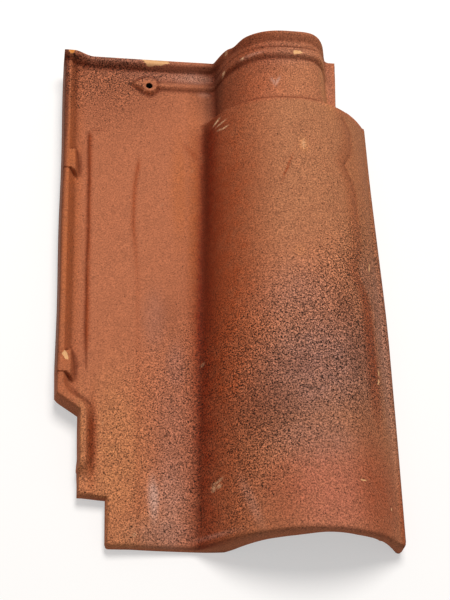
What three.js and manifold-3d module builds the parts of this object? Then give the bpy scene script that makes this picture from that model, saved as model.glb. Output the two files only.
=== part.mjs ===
// Interlocking clay roof tile: a flat water channel on the left and a conical roll on the right,
// pressed as one piece between two dies and fired. Millimetres, +Z up.
// The tile is shaped in its own plane: x runs from the left edge to the right edge, y from the tail
// to the head, and z = 0 is the top of the pan. It is then laid down as it rests on a level floor.
import * as THREE from 'three';
import { ConvexGeometry } from 'three/addons/geometries/ConvexGeometry.js';
import { mergeVertices } from 'three/addons/utils/BufferGeometryUtils.js';
import Module from 'manifold-3d';

// ---- driving dimensions ----
const WIDTH = 275;
const LENGTH = 452;
const BODY = 10;               // wall of the pan and the roll

// the fire bends the outline a little
const SIDE_BOW = 0.6;          // the right edge bows out in the middle
const SIDE_IN_HEAD = 2.2;      // and stands in at the head
const SIDE_IN_TAIL = 3.4;      // and at the tail
const SIDE_BOW_TAIL = 175;     // the widest stretch lies between these
const SIDE_BOW_HEAD = [190, 350];
const EDGE_WAVE = 0.7;         // the left edge waves outwards
const EDGE_WAVE_LENGTH = 145;
const EDGE_WAVE_CREST = 130;
const EDGE_WAVE_START = [120, 150];
const TAIL_SAG = 0.9;          // the tail hangs lower at the valley
const TAIL_SAG_X = 118;
const TAIL_SAG_HALF = 26;
const TAIL_TOE = 2.1;          // and at the roll's foot
const TAIL_TOE_X = [254, 270];
const TAIL_REACH = 34;         // the tail's bends die away this far from it

// left side lock, measured in from the left outline
const RIB_HEIGHT = 8;
const RIB_CROWN = 0.5;
const RIB_MIDDLE = 4;
const RIB_INNER = 6.4;
const RIB_FOOT = 13;
const RIB_SLOPE_POWER = 1.5;
const RIB_TAIL = [55, 66];     // the side rib dies away here
const FIELD_EDGE = 24.6;       // the raised field of the pan starts here
const FIELD_RISE = 1.4;
const FIELD_SLOPE = 0.9;
const FIELD_FADE = [140, 151]; // its left edge dies away here
const FIELD_TAIL = [50, 150];  // and the field itself here
const FIELD_HEAD = [372, 375.5];
const FIELD_LEFT = [28, 46];   // past this its head end is no longer a line, and runs out
const FIELD_RUN_OUT = 403;
const LEFT_PARTING = -7;

// cut-outs of the tail's left corner, where four tiles meet
const NOTCH_WIDE = 40.4;
const NOTCH_WIDE_TOP = 40.2;
const NOTCH_WIDE_DROP = 1.8;   // the cut runs down this much towards the pan
const NOTCH_SLIM = 18.5;
const NOTCH_SLIM_TOP = 107.4;
const NOTCH_SLANT_TOP = 120.2;
const NOTCH_ROUND = 3;
const LOCK_FILLET = 7;

// the roll: crown, height and half widths, at the tail and at the shoulder
const SHOULDER = 388;
const SHOULDER_DRAFT = 0.1;
const ROLL = {
  tail: { crownX: 196, height: 52.5, left: 82, right: 80, leftPower: 2, leftRound: 0.8 },
  head: { crownX: 203, height: 57, left: 77, right: 75, leftPower: 2.8, leftRound: 0.75 },
  hollow: { tailLeft: 76, tailRight: 72.5, headLeft: 67, headRight: 67.5 },
};
const RIGHT_POWER = 2;
const RIGHT_ROUND = 0.8;
const ROLL_BASE = -6;
const HOLLOW_BASE = -12;
const HOLLOW_FILLET = 8;
const VALLEY_FILLET = { tail: 22, head: 9 };
const VALLEY_FILLET_Y = [0, 260];

// the roll's right foot, which stands in the next tile's channel
const FOOT_LEDGE = 9.5;
const FOOT_LEDGE_SLOPE = 0.25;
const FOOT_LEDGE_FILLET = 1.5;
const RIGHT_PARTING = 7;
const FOOT_UNDER_HEAD = 0.5;
const FOOT_UNDER_TAIL = -10;   // it hangs past the next tile's cut-out at the tail
const FOOT_STEP = [104, 112];

// the collar at the head, which the next tile's roll covers
const COLLAR = {
  crownX: 200, height: 53.9, left: 63.5, right: 38.2,
  leftPower: 2.8, leftRound: 0.7, rightPower: 3.7, rightRound: 0.6,
};
const COLLAR_HOLLOW = {
  left: 53, right: 29.5, leftPower: 3, leftRound: 0.7, rightPower: 4, rightRound: 0.6,
};
const COLLAR_FILLET = { shoulder: 7, head: 16 };
const COLLAR_FILLET_Y = [436, 450];
const COLLAR_EDGE = { shoulder: 245.9, head: 249.9 };
const FLANGE_TOP = 20.5;
const FLANGE_UNDER = 10.5;
const FLANGE_FILLET = 6;
const FLANGE_START = [230, 242];

// two ribs across the head, each with its sizes on the pan and on the collar
const ON_COLLAR = [132, 146];
const HEAD_RIB = { pan: { foot: 445, height: 8 }, collar: { foot: 443.5, height: 5.6 }, top: 450.5 };
const SHELF_HEIGHT = 2.6;      // a shelf joins the two ribs on the collar
const SHELF_START = [437, 439.6];
const SECOND_RIB = {
  pan: { crest: 427, flat: 0, fall: 7.5, height: 3.2 },
  collar: { crest: 430.4, flat: 5.5, fall: 2.4, height: 4 },
  rise: 3.8,
  start: [80, 88],
};
const CORNER_LIFT = 7.5;       // the head's left corner stands up
const CORNER_LIFT_X = [8, 27];
const CORNER_LIFT_Y = [437, 449];
const RIB_FILLET = 3;
const NO_FILLET = 0.01;

// the pan sinks a little beside the roll, most of all at the tail
const DISH = 3.2;
const DISH_X = [30, 112];

// nail hole in its boss, which runs out to a point towards the side rib
const NAIL_X = 77;
const NAIL_Y = 425.2;
const NAIL_DIAMETER = 5.5;
const BOSS_CENTRE_Y = 1.6;     // from the hole
const BOSS_POINT = 17.4;
const BOSS_POINT_LIFT = 1.8;
const BOSS_RIGHT = 8.6;
const BOSS_HALF_WIDTH = 10;
const BOSS_HEIGHT = 4.2;
const BOSS_SLOPE = 2.4;

// water bars: stops that lean on the side rib, each with a toe that runs out towards the tail
const WATER_BARS = [350.4, 158.4];
const BAR_LENGTH = 19.6;
const BAR_TOP = { start: 3, end: 10.2, startHeight: 9.9, endHeight: 9.2, tailDraft: 1.6, headDraft: 2 };
const BAR_FOOT = { tail: 15.8, head: 12.8 };
const BAR_TOE = { x: 13.5, length: 9.5 };
const BAR_HEAD_SPLAY = 4;

// hanging nibs under the head
const NIBS = [42, 104];
const NIB_WIDTH = 26;
const NIB_DEPTH = 13;
const NIB_TAIL_FACE = 436;
const NIB_HEAD_FACE = 449;
const NIB_DRAFT = 2;
const NIB_SIDES = NIBS.flatMap((x) => [-1, 1].flatMap((side) => {
  const foot = x + side * NIB_WIDTH / 2;
  return [foot, foot - side * NIB_DRAFT];
})).sort((a, b) => a - b);

// ---- helpers ----
const clamp01 = (t) => Math.min(1, Math.max(0, t));
const mix = (a, b, t) => a + (b - a) * t;

// 0 before the first place, 1 after the second, with a smooth rise between
function ease([start, end], value) {
  const t = clamp01((value - start) / (end - start));
  return t * t * (3 - 2 * t);
}

// the larger of two heights, with a fillet of size k where they meet
function filletMax(a, b, k) {
  const near = Math.max(k - Math.abs(a - b), 0) / k;
  return Math.max(a, b) + near * near * k / 4;
}

function filletMin(a, b, k) {
  return -filletMax(-a, -b, k);
}

// an arch: 1 at the crown, 0 at the half widths and falling away below 0 outside them
function arch(x, { crownX, left, right, leftPower, leftRound, rightPower, rightRound }) {
  const onLeft = x < crownX;
  const reach = Math.abs(x - crownX) / (onLeft ? left : right);
  const level = 1 - reach ** (onLeft ? leftPower : rightPower);
  return Math.sign(level) * Math.abs(level) ** (onLeft ? leftRound : rightRound);
}

// ---- plan outline ----
const SLANT_RISE = NOTCH_SLANT_TOP - NOTCH_SLIM_TOP;
const SLANT_LENGTH = Math.hypot(SLANT_RISE, NOTCH_SLIM);

function leftOutline(y) {
  return NOTCH_SLIM * (1 - clamp01((y - NOTCH_SLIM_TOP) / SLANT_RISE));
}

function leftEdge(y) {
  const phase = 2 * Math.PI * (y - EDGE_WAVE_CREST) / EDGE_WAVE_LENGTH;
  const wave = (1 + Math.cos(phase)) / 2;
  return leftOutline(y) - EDGE_WAVE * wave * ease(EDGE_WAVE_START, y);
}

function rightEdge(y) {
  const toTail = SIDE_IN_TAIL * clamp01(1 - y / SIDE_BOW_TAIL);
  return WIDTH + SIDE_BOW - SIDE_IN_HEAD * ease(SIDE_BOW_HEAD, y) - toTail;
}

function tailEdge(x) {
  const sag = TAIL_SAG * Math.exp(-(((x - TAIL_SAG_X) / TAIL_SAG_HALF) ** 2));
  return -sag - TAIL_TOE * ease(TAIL_TOE_X, x);
}

const collarEdge = (y) => mix(
  COLLAR_EDGE.shoulder,
  COLLAR_EDGE.head,
  (y - SHOULDER) / (LENGTH - SHOULDER),
);

// distance in from the bent left outline: its three straight lines, joined by soft corners
function lockDistance(x, y) {
  const slant = (x * SLANT_RISE + (y - NOTCH_SLANT_TOP) * NOTCH_SLIM) / SLANT_LENGTH;
  return filletMin(x, filletMax(slant, x - NOTCH_SLIM, LOCK_FILLET), LOCK_FILLET);
}

// ---- top face ----
const dish = (x, y) => DISH * ease(DISH_X, x) * (1 - y / LENGTH);

function panFloor(x, y) {
  const inset = lockDistance(x, y);
  const edge = ease([FIELD_EDGE - FIELD_SLOPE, FIELD_EDGE + FIELD_SLOPE], inset);
  const side = Math.max(edge, 1 - ease(FIELD_FADE, y));
  const head = mix(1, 1 - ease(FIELD_HEAD, y), 1 - ease(FIELD_LEFT, x));
  const runOut = 1 - ease([FIELD_HEAD[1], FIELD_RUN_OUT], y);
  return FIELD_RISE * side * ease(FIELD_TAIL, y) * Math.min(head, runOut) - dish(x, y);
}

// a low crown, then a slope that is steep at the top and eases into the channel
function sideRib(x, y) {
  const inset = lockDistance(x, y);
  const crown = RIB_CROWN * (1 - ((Math.min(inset, RIB_INNER) - RIB_MIDDLE) / RIB_MIDDLE) ** 2);
  const slope = clamp01((inset - RIB_INNER) / (RIB_FOOT - RIB_INNER));
  return (RIB_HEIGHT + crown) * ease(RIB_TAIL, y) * (1 - slope) ** RIB_SLOPE_POWER;
}

function rollAt(y) {
  const t = clamp01(y / SHOULDER);
  const between = (name) => mix(ROLL.tail[name], ROLL.head[name], t);
  return {
    crownX: between('crownX'),
    height: between('height'),
    left: between('left'),
    right: between('right'),
    leftPower: between('leftPower'),
    leftRound: between('leftRound'),
    rightPower: RIGHT_POWER,
    rightRound: RIGHT_ROUND,
    hollowLeft: mix(ROLL.hollow.tailLeft, ROLL.hollow.headLeft, t),
    hollowRight: mix(ROLL.hollow.tailRight, ROLL.hollow.headRight, t),
  };
}

function rollTop(x, y) {
  const roll = rollAt(y);
  return mix(ROLL_BASE, roll.height, arch(x, roll));
}

function collarTop(x) {
  const collar = mix(ROLL_BASE, COLLAR.height, arch(x, COLLAR));
  return x > COLLAR.crownX ? filletMax(collar, FLANGE_TOP, FLANGE_FILLET) : collar;
}

function headRibs(x, y) {
  const onCollar = ease(ON_COLLAR, x);
  const between = (rib, name) => mix(rib.pan[name], rib.collar[name], onCollar);
  const endRib = between(HEAD_RIB, 'height') * ease([between(HEAD_RIB, 'foot'), HEAD_RIB.top], y);
  const shelf = SHELF_HEIGHT * onCollar * ease(SHELF_START, y);
  const crest = between(SECOND_RIB, 'crest');
  const flatEnd = crest + between(SECOND_RIB, 'flat');
  const second = between(SECOND_RIB, 'height') * ease(SECOND_RIB.start, x)
    * ease([crest - SECOND_RIB.rise, crest], y)
    * (1 - ease([flatEnd, flatEnd + between(SECOND_RIB, 'fall')], y));
  return Math.max(endRib + shelf, second) * (1 - ease(FLANGE_START, x));
}

function topHeight(x, y, onCollar) {
  const pan = panFloor(x, y);
  const lift = CORNER_LIFT * (1 - ease(CORNER_LIFT_X, x)) * ease(CORNER_LIFT_Y, y);
  const side = sideRib(x, y);
  const head = headRibs(x, y) + lift;
  const raised = filletMax(side, head, Math.max(NO_FILLET, Math.min(RIB_FILLET, side, head)));
  if (onCollar) {
    const fillet = mix(COLLAR_FILLET.shoulder, COLLAR_FILLET.head, ease(COLLAR_FILLET_Y, y));
    return raised + filletMax(pan, collarTop(x), fillet);
  }
  const valley = mix(VALLEY_FILLET.tail, VALLEY_FILLET.head, ease(VALLEY_FILLET_Y, y));
  const roll = filletMax(pan, rollTop(x, y), valley);
  const ledge = FOOT_LEDGE + FOOT_LEDGE_SLOPE * (WIDTH - x);
  return raised + (x > ROLL.head.crownX ? filletMax(roll, ledge, FOOT_LEDGE_FILLET) : roll);
}

// ---- underside ----
function hollow(x, y) {
  const roll = rollAt(y);
  const share = arch(x, { ...roll, left: roll.hollowLeft, right: roll.hollowRight });
  return mix(HOLLOW_BASE, roll.height - BODY, share);
}

function collarHollow(x) {
  const share = arch(x, { crownX: COLLAR.crownX, ...COLLAR_HOLLOW });
  const inner = mix(HOLLOW_BASE, COLLAR.height - BODY, share);
  return x > COLLAR.crownX ? Math.max(inner, FLANGE_UNDER) : inner;
}

function nibDepth(x, y) {
  const slope = (inside) => clamp01(inside / NIB_DRAFT);
  const along = Math.min(slope(y - NIB_TAIL_FACE + NIB_DRAFT), slope(NIB_HEAD_FACE - y));
  const across = NIBS.map((nibX) => slope(NIB_WIDTH / 2 - Math.abs(x - nibX)));
  return NIB_DEPTH * Math.min(along, Math.max(...across));
}

function underHeight(x, y, onCollar) {
  const pan = -BODY - dish(x, y) - nibDepth(x, y);
  if (onCollar) return filletMax(pan, collarHollow(x), HOLLOW_FILLET);
  const foot = mix(FOOT_UNDER_TAIL, FOOT_UNDER_HEAD, ease(FOOT_STEP, y));
  const roll = filletMax(pan, hollow(x, y), HOLLOW_FILLET);
  return x > ROLL.head.crownX ? Math.max(roll, foot) : roll;
}

// ---- the body: a grid over the top and a grid under it, joined along their shared rim ----
// columns, from left to right: distances in from the left outline, even steps over the pan, shares
// of the roll's half widths, and distances in from the right edge or to the collar's edge
const LEFT_INSETS = [
  0, 1.2, 2.5, 4.4, RIB_INNER, 8.2, 10.4, RIB_FOOT, 18.5,
  FIELD_EDGE - FIELD_SLOPE, FIELD_EDGE + FIELD_SLOPE,
];
const PAN_STEPS = 9;
const FIRST_FLANK = LEFT_INSETS.length + PAN_STEPS - 1;
const FLANK_SHARES = [1.14, 1.07, 1.01, 0.96, 0.91, 0.85, 0.77, 0.67, 0.55, 0.4, 0.21, 0];
const FIRST_RIGHT = FIRST_FLANK + FLANK_SHARES.length;
const RIGHT_SHARES = [0.14, 0.28, 0.42, 0.54, 0.64, 0.73, 0.8, 0.85];
const RIGHT_SHARES_UNDER = [0.15, 0.3, 0.46, 0.6, 0.72, 0.82, 0.9, 0.95];
const RIGHT_INSETS = [5.8, 4.4, 3.2, 2.1, 1, 0.4, 0];
const COLLAR_SHARES = [0.2, 0.4, 0.6, 0.74, 0.85, 0.93, 0.98];
const COLLAR_STOPS = [-8, -5.5, -3, 0.4, 1];
const COLLAR_SIDE = 0.7;                   // stops past this belong to the roll's skirt
const SKIRT_INSETS = [4, 1.2, 0];
const NIB_COLUMNS_AT = 431;                // from here the underside's columns follow the nibs

// how far from the parting line to its full height a face stands, by lines in from the edge
const LEFT_FACE = [0, 0.55, 0.97, 1];
const LEFT_UNDER = [0, 0.8, 1];
const RIGHT_FACE = [0, 0.6, 0.9, 1];
const RIGHT_UNDER = [0, 0.9, 1];
const SKIRT_FACE = [0, 1];
const TAIL_FACE = [0, 0.66, 0.9, 1];
const HEAD_FACE = [0, 0.94, 1];
const TAIL_RIM = 1.2;
const HEAD_RIM_SHARE = 0.5;

const STEP_ROW = 0.6;
const UNDER_STEP = SHOULDER - BODY;
const COLUMN_SHIFT = [354, UNDER_STEP - 1];

// rows from the tail to the shoulder: where each lies on the top, and on the underside if elsewhere
const TAIL_ROWS = [
  [0], [0.9], [2.2, 3], [4.5, 8], [14, 16], [27], [41], [RIB_TAIL[0]], [58.5], [62], [RIB_TAIL[1]],
  [76], [91], [NOTCH_SLIM_TOP, FOOT_STEP[0]], [110.6, 108], [NOTCH_SLANT_TOP - 6, FOOT_STEP[1]],
  [NOTCH_SLANT_TOP], [130], [FIELD_FADE[0]], [FIELD_FADE[1]], [165], [190], [220], [247], [275],
  [304], [332], [354], [FIELD_HEAD[0], 370], [FIELD_HEAD[1], UNDER_STEP - 0.1],
  [SHOULDER - STEP_ROW, UNDER_STEP],
];
// rows from the shoulder to the head: on the pan, on the collar, and on the underside
const HEAD_ROWS = [
  [SHOULDER, SHOULDER, SHOULDER], [394, 394, 394], [403, 403, 403], [413, 414, 413],
  [419, 421, 421], [423.2, 426.6, 427], [425.1, 428.5, 431],
  [427, 430.4, NIB_TAIL_FACE - NIB_DRAFT], [430, 433, NIB_TAIL_FACE - 1],
  [432.5, 435.9, NIB_TAIL_FACE], [434.5, 437.2, 438.5], [437, 438.4, 440], [440, 439.6, 442],
  [443, 441.5, 444], [445, 443.5, 446], [447.7, 447, NIB_HEAD_FACE - NIB_DRAFT],
  [HEAD_RIB.top - 1, HEAD_RIB.top - 1, NIB_HEAD_FACE - 1], [451.3, 451.3, NIB_HEAD_FACE],
  [LENGTH, LENGTH, LENGTH],
];
const ROWS = [
  ...TAIL_ROWS.map(([top, under = top]) => ({ pan: top, roll: top, under })),
  ...HEAD_ROWS.map(([pan, roll, under]) => ({ pan, roll, under })),
];
const STEP_INDEX = TAIL_ROWS.length - 1;

// lines that stay parallel to the bent left outline slide along it by this much per mm inwards
const BEND_SLIDE = (SLANT_LENGTH - SLANT_RISE) / NOTCH_SLIM;
const BEND_START = [76, NOTCH_SLIM_TOP];
const BEND_END = [NOTCH_SLANT_TOP, 151];
const BEND_INNER = [RIB_FOOT, 60];

// on the underside the shares are of the hollow's half widths
function halfWidths(y, onCollar, under) {
  if (onCollar) return under ? COLLAR_HOLLOW : COLLAR;
  const { left, right, hollowLeft, hollowRight } = rollAt(y);
  return under ? { left: hollowLeft, right: hollowRight } : { left, right };
}

function columns(y, onCollar, under) {
  const edge = leftEdge(y);
  const crown = onCollar ? COLLAR.crownX : rollAt(y).crownX;
  const { left, right } = halfWidths(y, onCollar, under);
  const list = LEFT_INSETS.map((inset) => edge + inset);
  const panStart = edge + LEFT_INSETS[LEFT_INSETS.length - 1];
  const panEnd = crown - left * FLANK_SHARES[0];
  for (let step = 1; step < PAN_STEPS; step += 1) list.push(mix(panStart, panEnd, step / PAN_STEPS));
  FLANK_SHARES.forEach((share) => list.push(crown - left * share));
  if (onCollar) {
    COLLAR_SHARES.forEach((share) => list.push(crown + right * share));
    COLLAR_STOPS.forEach((stop) => list.push(collarEdge(y) + stop));
    SKIRT_INSETS.forEach((inset) => list.push(rightEdge(y) - inset));
  } else {
    const shares = under ? RIGHT_SHARES_UNDER : RIGHT_SHARES;
    shares.forEach((share) => list.push(crown + right * share));
    RIGHT_INSETS.forEach((inset) => list.push(rightEdge(y) - inset));
  }
  return list;
}

const COLUMN_COUNT = columns(0, false, false).length;
const LAST_COLUMN = COLUMN_COUNT - 1;
const LAST_ROW = ROWS.length - 1;

// on the underside, the columns gather at the sides of the nibs, and shift to the collar's
// before the step under the shoulder
function columnX(column, y, onCollar, under) {
  const x = columns(y, onCollar, under)[column];
  if (!under) return x;
  const nibSide = NIB_SIDES[column - LEFT_INSETS.length];
  if (nibSide !== undefined) return mix(x, nibSide, ease([SHOULDER, NIB_COLUMNS_AT], y));
  if (column < FIRST_RIGHT || onCollar) return x;
  return mix(x, columns(y, true, true)[column], ease(COLUMN_SHIFT, y));
}

// y of a row's point on the upper face: the rows across the head step up onto the collar
function upperY(row, column) {
  const { pan, roll } = ROWS[row];
  return mix(pan, roll, ease(ON_COLLAR, columnX(column, pan, row > STEP_INDEX, false)));
}

// how far a row bends, to follow the slant of the left outline and the bends of the tail
function rowBend(column, x, y) {
  const inset = LEFT_INSETS[column] ?? x - leftEdge(y);
  const atSlant = ease(BEND_START, y) * (1 - ease(BEND_END, y)) * (1 - ease(BEND_INNER, inset));
  return BEND_SLIDE * Math.min(inset, RIB_FOOT) * atSlant + tailEdge(x) * clamp01(1 - y / TAIL_REACH);
}

// share of the way from the parting line to the full height, by lines in from each end
function faceShare(index, last, startShares, endShares) {
  return Math.min(startShares[index] ?? 1, endShares[last - index] ?? 1);
}

function gridPoint(row, column, under) {
  const onSide = column === 0 || column === LAST_COLUMN;
  const onRim = onSide || row === 0 || row === LAST_ROW;
  const inner = under && !onRim;
  const beyondStep = row > STEP_INDEX || (inner && row === STEP_INDEX);
  const rowY = under && !onSide ? ROWS[row].under : upperY(row, column);
  const x = columnX(column, rowY, beyondStep, inner);
  const onSkirt = beyondStep && x > collarEdge(rowY) + COLLAR_SIDE;

  // the underside steps under the shoulder only where it is hollow
  const stepless = inner && (onSkirt || column < FIRST_FLANK) && Math.abs(row - STEP_INDEX) <= 1;
  const flatY = stepless ? upperY(row, column) : rowY;
  const y = flatY + rowBend(column, x, flatY);
  const top = topHeight(x, y, row > STEP_INDEX && !onSkirt);
  const low = underHeight(x, y, beyondStep && !onSkirt);

  const nearTail = row < TAIL_FACE.length;
  const endParting = nearTail ? low + TAIL_RIM : mix(low, top, HEAD_RIM_SHARE);
  const sideParting = column < COLUMN_COUNT / 2 ? LEFT_PARTING : RIGHT_PARTING;
  if (onRim) return [x, y, onSide ? sideParting : endParting];
  if (under) {
    return [x, y, mix(sideParting, low, faceShare(column, LAST_COLUMN, LEFT_UNDER, RIGHT_UNDER))];
  }
  const lean = row === STEP_INDEX ? SHOULDER_DRAFT * Math.max(top, 0) : 0;
  const height = mix(endParting, top, faceShare(row, LAST_ROW, TAIL_FACE, HEAD_FACE));
  const rightFace = beyondStep ? SKIRT_FACE : RIGHT_FACE;
  return [x, y - lean, mix(sideParting, height, faceShare(column, LAST_COLUMN, LEFT_FACE, rightFace))];
}

function bodyGeometry() {
  const positions = [];
  const indices = [];
  [false, true].forEach((under) => {
    const start = positions.length / 3;
    for (let row = 0; row <= LAST_ROW; row += 1) {
      for (let column = 0; column <= LAST_COLUMN; column += 1) {
        positions.push(...gridPoint(row, column, under));
      }
    }
    for (let row = 0; row < LAST_ROW; row += 1) {
      for (let column = 0; column < LAST_COLUMN; column += 1) {
        const a = start + row * COLUMN_COUNT + column;
        const b = a + 1;
        const c = b + COLUMN_COUNT;
        const d = a + COLUMN_COUNT;
        if (under) indices.push(a, c, b, a, d, c);
        else indices.push(a, b, c, a, c, d);
      }
    }
  });
  const geometry = new THREE.BufferGeometry();
  geometry.setAttribute('position', new THREE.Float32BufferAttribute(positions, 3));
  geometry.setIndex(indices);
  return geometry;
}

// ---- pieces that are joined to the body or cut from it ----
const BOSS_SEGMENTS = 5;
const HOLE_SIDES = 20;
const NOTCH_SEGMENTS = 4;
const SUNK = 1;                            // pieces that are joined reach this far into the body
const BEYOND = 20;                         // and cuts reach this far past it
const TALL = 100;

function bossRing(point, right, halfWidth, z) {
  const lift = BOSS_POINT_LIFT * point / BOSS_POINT;
  const outline = new THREE.Shape();
  outline.moveTo(-point, lift);
  outline.quadraticCurveTo(-point / 3, -halfWidth, 0, -halfWidth);
  outline.absellipse(0, 0, right, halfWidth, -Math.PI / 2, Math.PI / 2, false);
  outline.quadraticCurveTo(-point / 3, halfWidth, -point, lift);
  return outline.getPoints(BOSS_SEGMENTS).map(({ x, y }) => new THREE.Vector3(x, y, z));
}

function bossGeometry() {
  const foot = bossRing(BOSS_POINT, BOSS_RIGHT, BOSS_HALF_WIDTH, -SUNK);
  const top = bossRing(
    BOSS_POINT - 2 * BOSS_SLOPE,
    BOSS_RIGHT - BOSS_SLOPE,
    BOSS_HALF_WIDTH - BOSS_SLOPE,
    BOSS_HEIGHT,
  );
  return new ConvexGeometry([...foot, ...top]).translate(NAIL_X, NAIL_Y + BOSS_CENTRE_Y, 0);
}

// a convex block: its flat top, and a foot that is longer at both ends and slopes towards the pan
function waterBarGeometry(head) {
  const tail = head - BAR_LENGTH;
  const { start, end, startHeight, endHeight, tailDraft, headDraft } = BAR_TOP;
  const points = [
    [start, tail + tailDraft, startHeight],
    [end, tail + tailDraft, endHeight],
    [end, head - headDraft, endHeight],
    [start, head - headDraft, startHeight],
    [start, tail, -SUNK],
    [BAR_TOE.x, tail - BAR_TOE.length, -SUNK],
    [BAR_FOOT.tail, tail, -SUNK],
    [BAR_FOOT.tail, tail + BAR_TOE.length, -SUNK],
    [BAR_FOOT.head, head + BAR_HEAD_SPLAY, -SUNK],
    [start, head, -SUNK],
  ];
  return new ConvexGeometry(points.map((point) => new THREE.Vector3(...point)));
}

function nailHoleGeometry() {
  const radius = NAIL_DIAMETER / 2;
  const hole = new THREE.CylinderGeometry(radius, radius, TALL, HOLE_SIDES);
  return hole.rotateX(Math.PI / 2).translate(NAIL_X, NAIL_Y, 0);
}

// the wide cut-out: the clay's two outer corners there are rounded
function cornerCutGeometry() {
  const round = NOTCH_ROUND / 2;
  const outline = new THREE.Shape();
  outline.moveTo(-BEYOND, -BEYOND);
  outline.lineTo(NOTCH_WIDE + NOTCH_ROUND, -BEYOND);
  outline.absarc(NOTCH_WIDE + NOTCH_ROUND, NOTCH_ROUND, NOTCH_ROUND, -Math.PI / 2, -Math.PI, true);
  outline.lineTo(NOTCH_WIDE, NOTCH_WIDE_TOP - NOTCH_WIDE_DROP);
  outline.lineTo(NOTCH_SLIM + round, NOTCH_WIDE_TOP);
  outline.lineTo(NOTCH_SLIM, NOTCH_WIDE_TOP + round);
  outline.lineTo(-BEYOND, NOTCH_WIDE_TOP + round);
  const cut = new THREE.ExtrudeGeometry(outline, {
    depth: TALL,
    bevelEnabled: false,
    curveSegments: NOTCH_SEGMENTS,
  });
  return cut.translate(0, 0, -TALL / 2);
}

// the clay beside the collar is cut away, up to the leaning face of the shoulder
function shoulderCutGeometry() {
  const end = LENGTH + BEYOND;
  const corners = [-TALL, TALL].flatMap((z) => {
    const face = SHOULDER - SHOULDER_DRAFT * z;
    return [
      [collarEdge(face), face, z],
      [collarEdge(end), end, z],
      [WIDTH + BEYOND, end, z],
      [WIDTH + BEYOND, face, z],
    ];
  });
  return new ConvexGeometry(corners.map((corner) => new THREE.Vector3(...corner)));
}

// ---- joining and cutting ----
const MERGE_DISTANCE = 1e-4;
const wasm = await Module();
wasm.setup();

function solid(geometry) {
  const bare = geometry.clone();
  bare.deleteAttribute('normal');
  bare.deleteAttribute('uv');
  const merged = mergeVertices(bare, MERGE_DISTANCE);
  return new wasm.Manifold(new wasm.Mesh({
    numProp: 3,
    vertProperties: new Float32Array(merged.attributes.position.array),
    triVerts: new Uint32Array(merged.index.array),
  }));
}

function geometryOf(manifold) {
  const mesh = manifold.getMesh();
  const geometry = new THREE.BufferGeometry();
  geometry.setAttribute('position', new THREE.Float32BufferAttribute(mesh.vertProperties, 3));
  geometry.setIndex(Array.from(mesh.triVerts));
  return geometry;
}

let tileSolid = solid(bodyGeometry());
tileSolid = tileSolid.add(solid(bossGeometry()));
WATER_BARS.forEach((head) => {
  tileSolid = tileSolid.add(solid(waterBarGeometry(head)));
});
tileSolid = tileSolid.subtract(solid(nailHoleGeometry()));
tileSolid = tileSolid.subtract(solid(cornerCutGeometry()));
tileSolid = tileSolid.subtract(solid(shoulderCutGeometry()));

// ---- at rest on a level floor: the pan and the roll at the tail, and one nib, touch it ----
const REST_Y = 1;
const tailOfPan = new THREE.Vector3(DISH_X[1], REST_Y, -BODY - DISH);
const tailOfRoll = new THREE.Vector3(TAIL_TOE_X[1], REST_Y, FOOT_UNDER_TAIL);
const nibX = NIBS[1] + NIB_WIDTH / 2 - NIB_DRAFT;
const nibCorner = new THREE.Vector3(nibX, NIB_TAIL_FACE, underHeight(nibX, NIB_TAIL_FACE, false));
const floorNormal = tailOfRoll.sub(tailOfPan).cross(nibCorner.sub(tailOfPan)).normalize();
const lay = new THREE.Quaternion().setFromUnitVectors(floorNormal, new THREE.Vector3(0, 0, 1));

const tileGeometry = geometryOf(tileSolid).applyQuaternion(lay);
tileGeometry.computeBoundingBox();
const { min, max } = tileGeometry.boundingBox;
tileGeometry.translate(-(min.x + max.x) / 2, -(min.y + max.y) / 2, -min.z);
tileGeometry.computeVertexNormals();

const firedClay = new THREE.MeshStandardMaterial({ color: '#b5694a', roughness: 0.9, metalness: 0 });
const tile = new THREE.Mesh(tileGeometry, firedClay);
tile.name = 'roof_tile';

const group = new THREE.Group();
group.add(tile);

export default group;
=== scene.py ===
# %% [markdown]
# # An interlocking clay roof tile
# This lesson builds the look of one pressed and fired roof tile: a flat water channel (the pan) on
# the left, a tapering barrel (the roll) on the right, and the ribs, bars and collar that lock it
# to its neighbours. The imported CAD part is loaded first: the scene is in metres, in that part's own
# space, and its box is kept to measure against.

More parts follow.
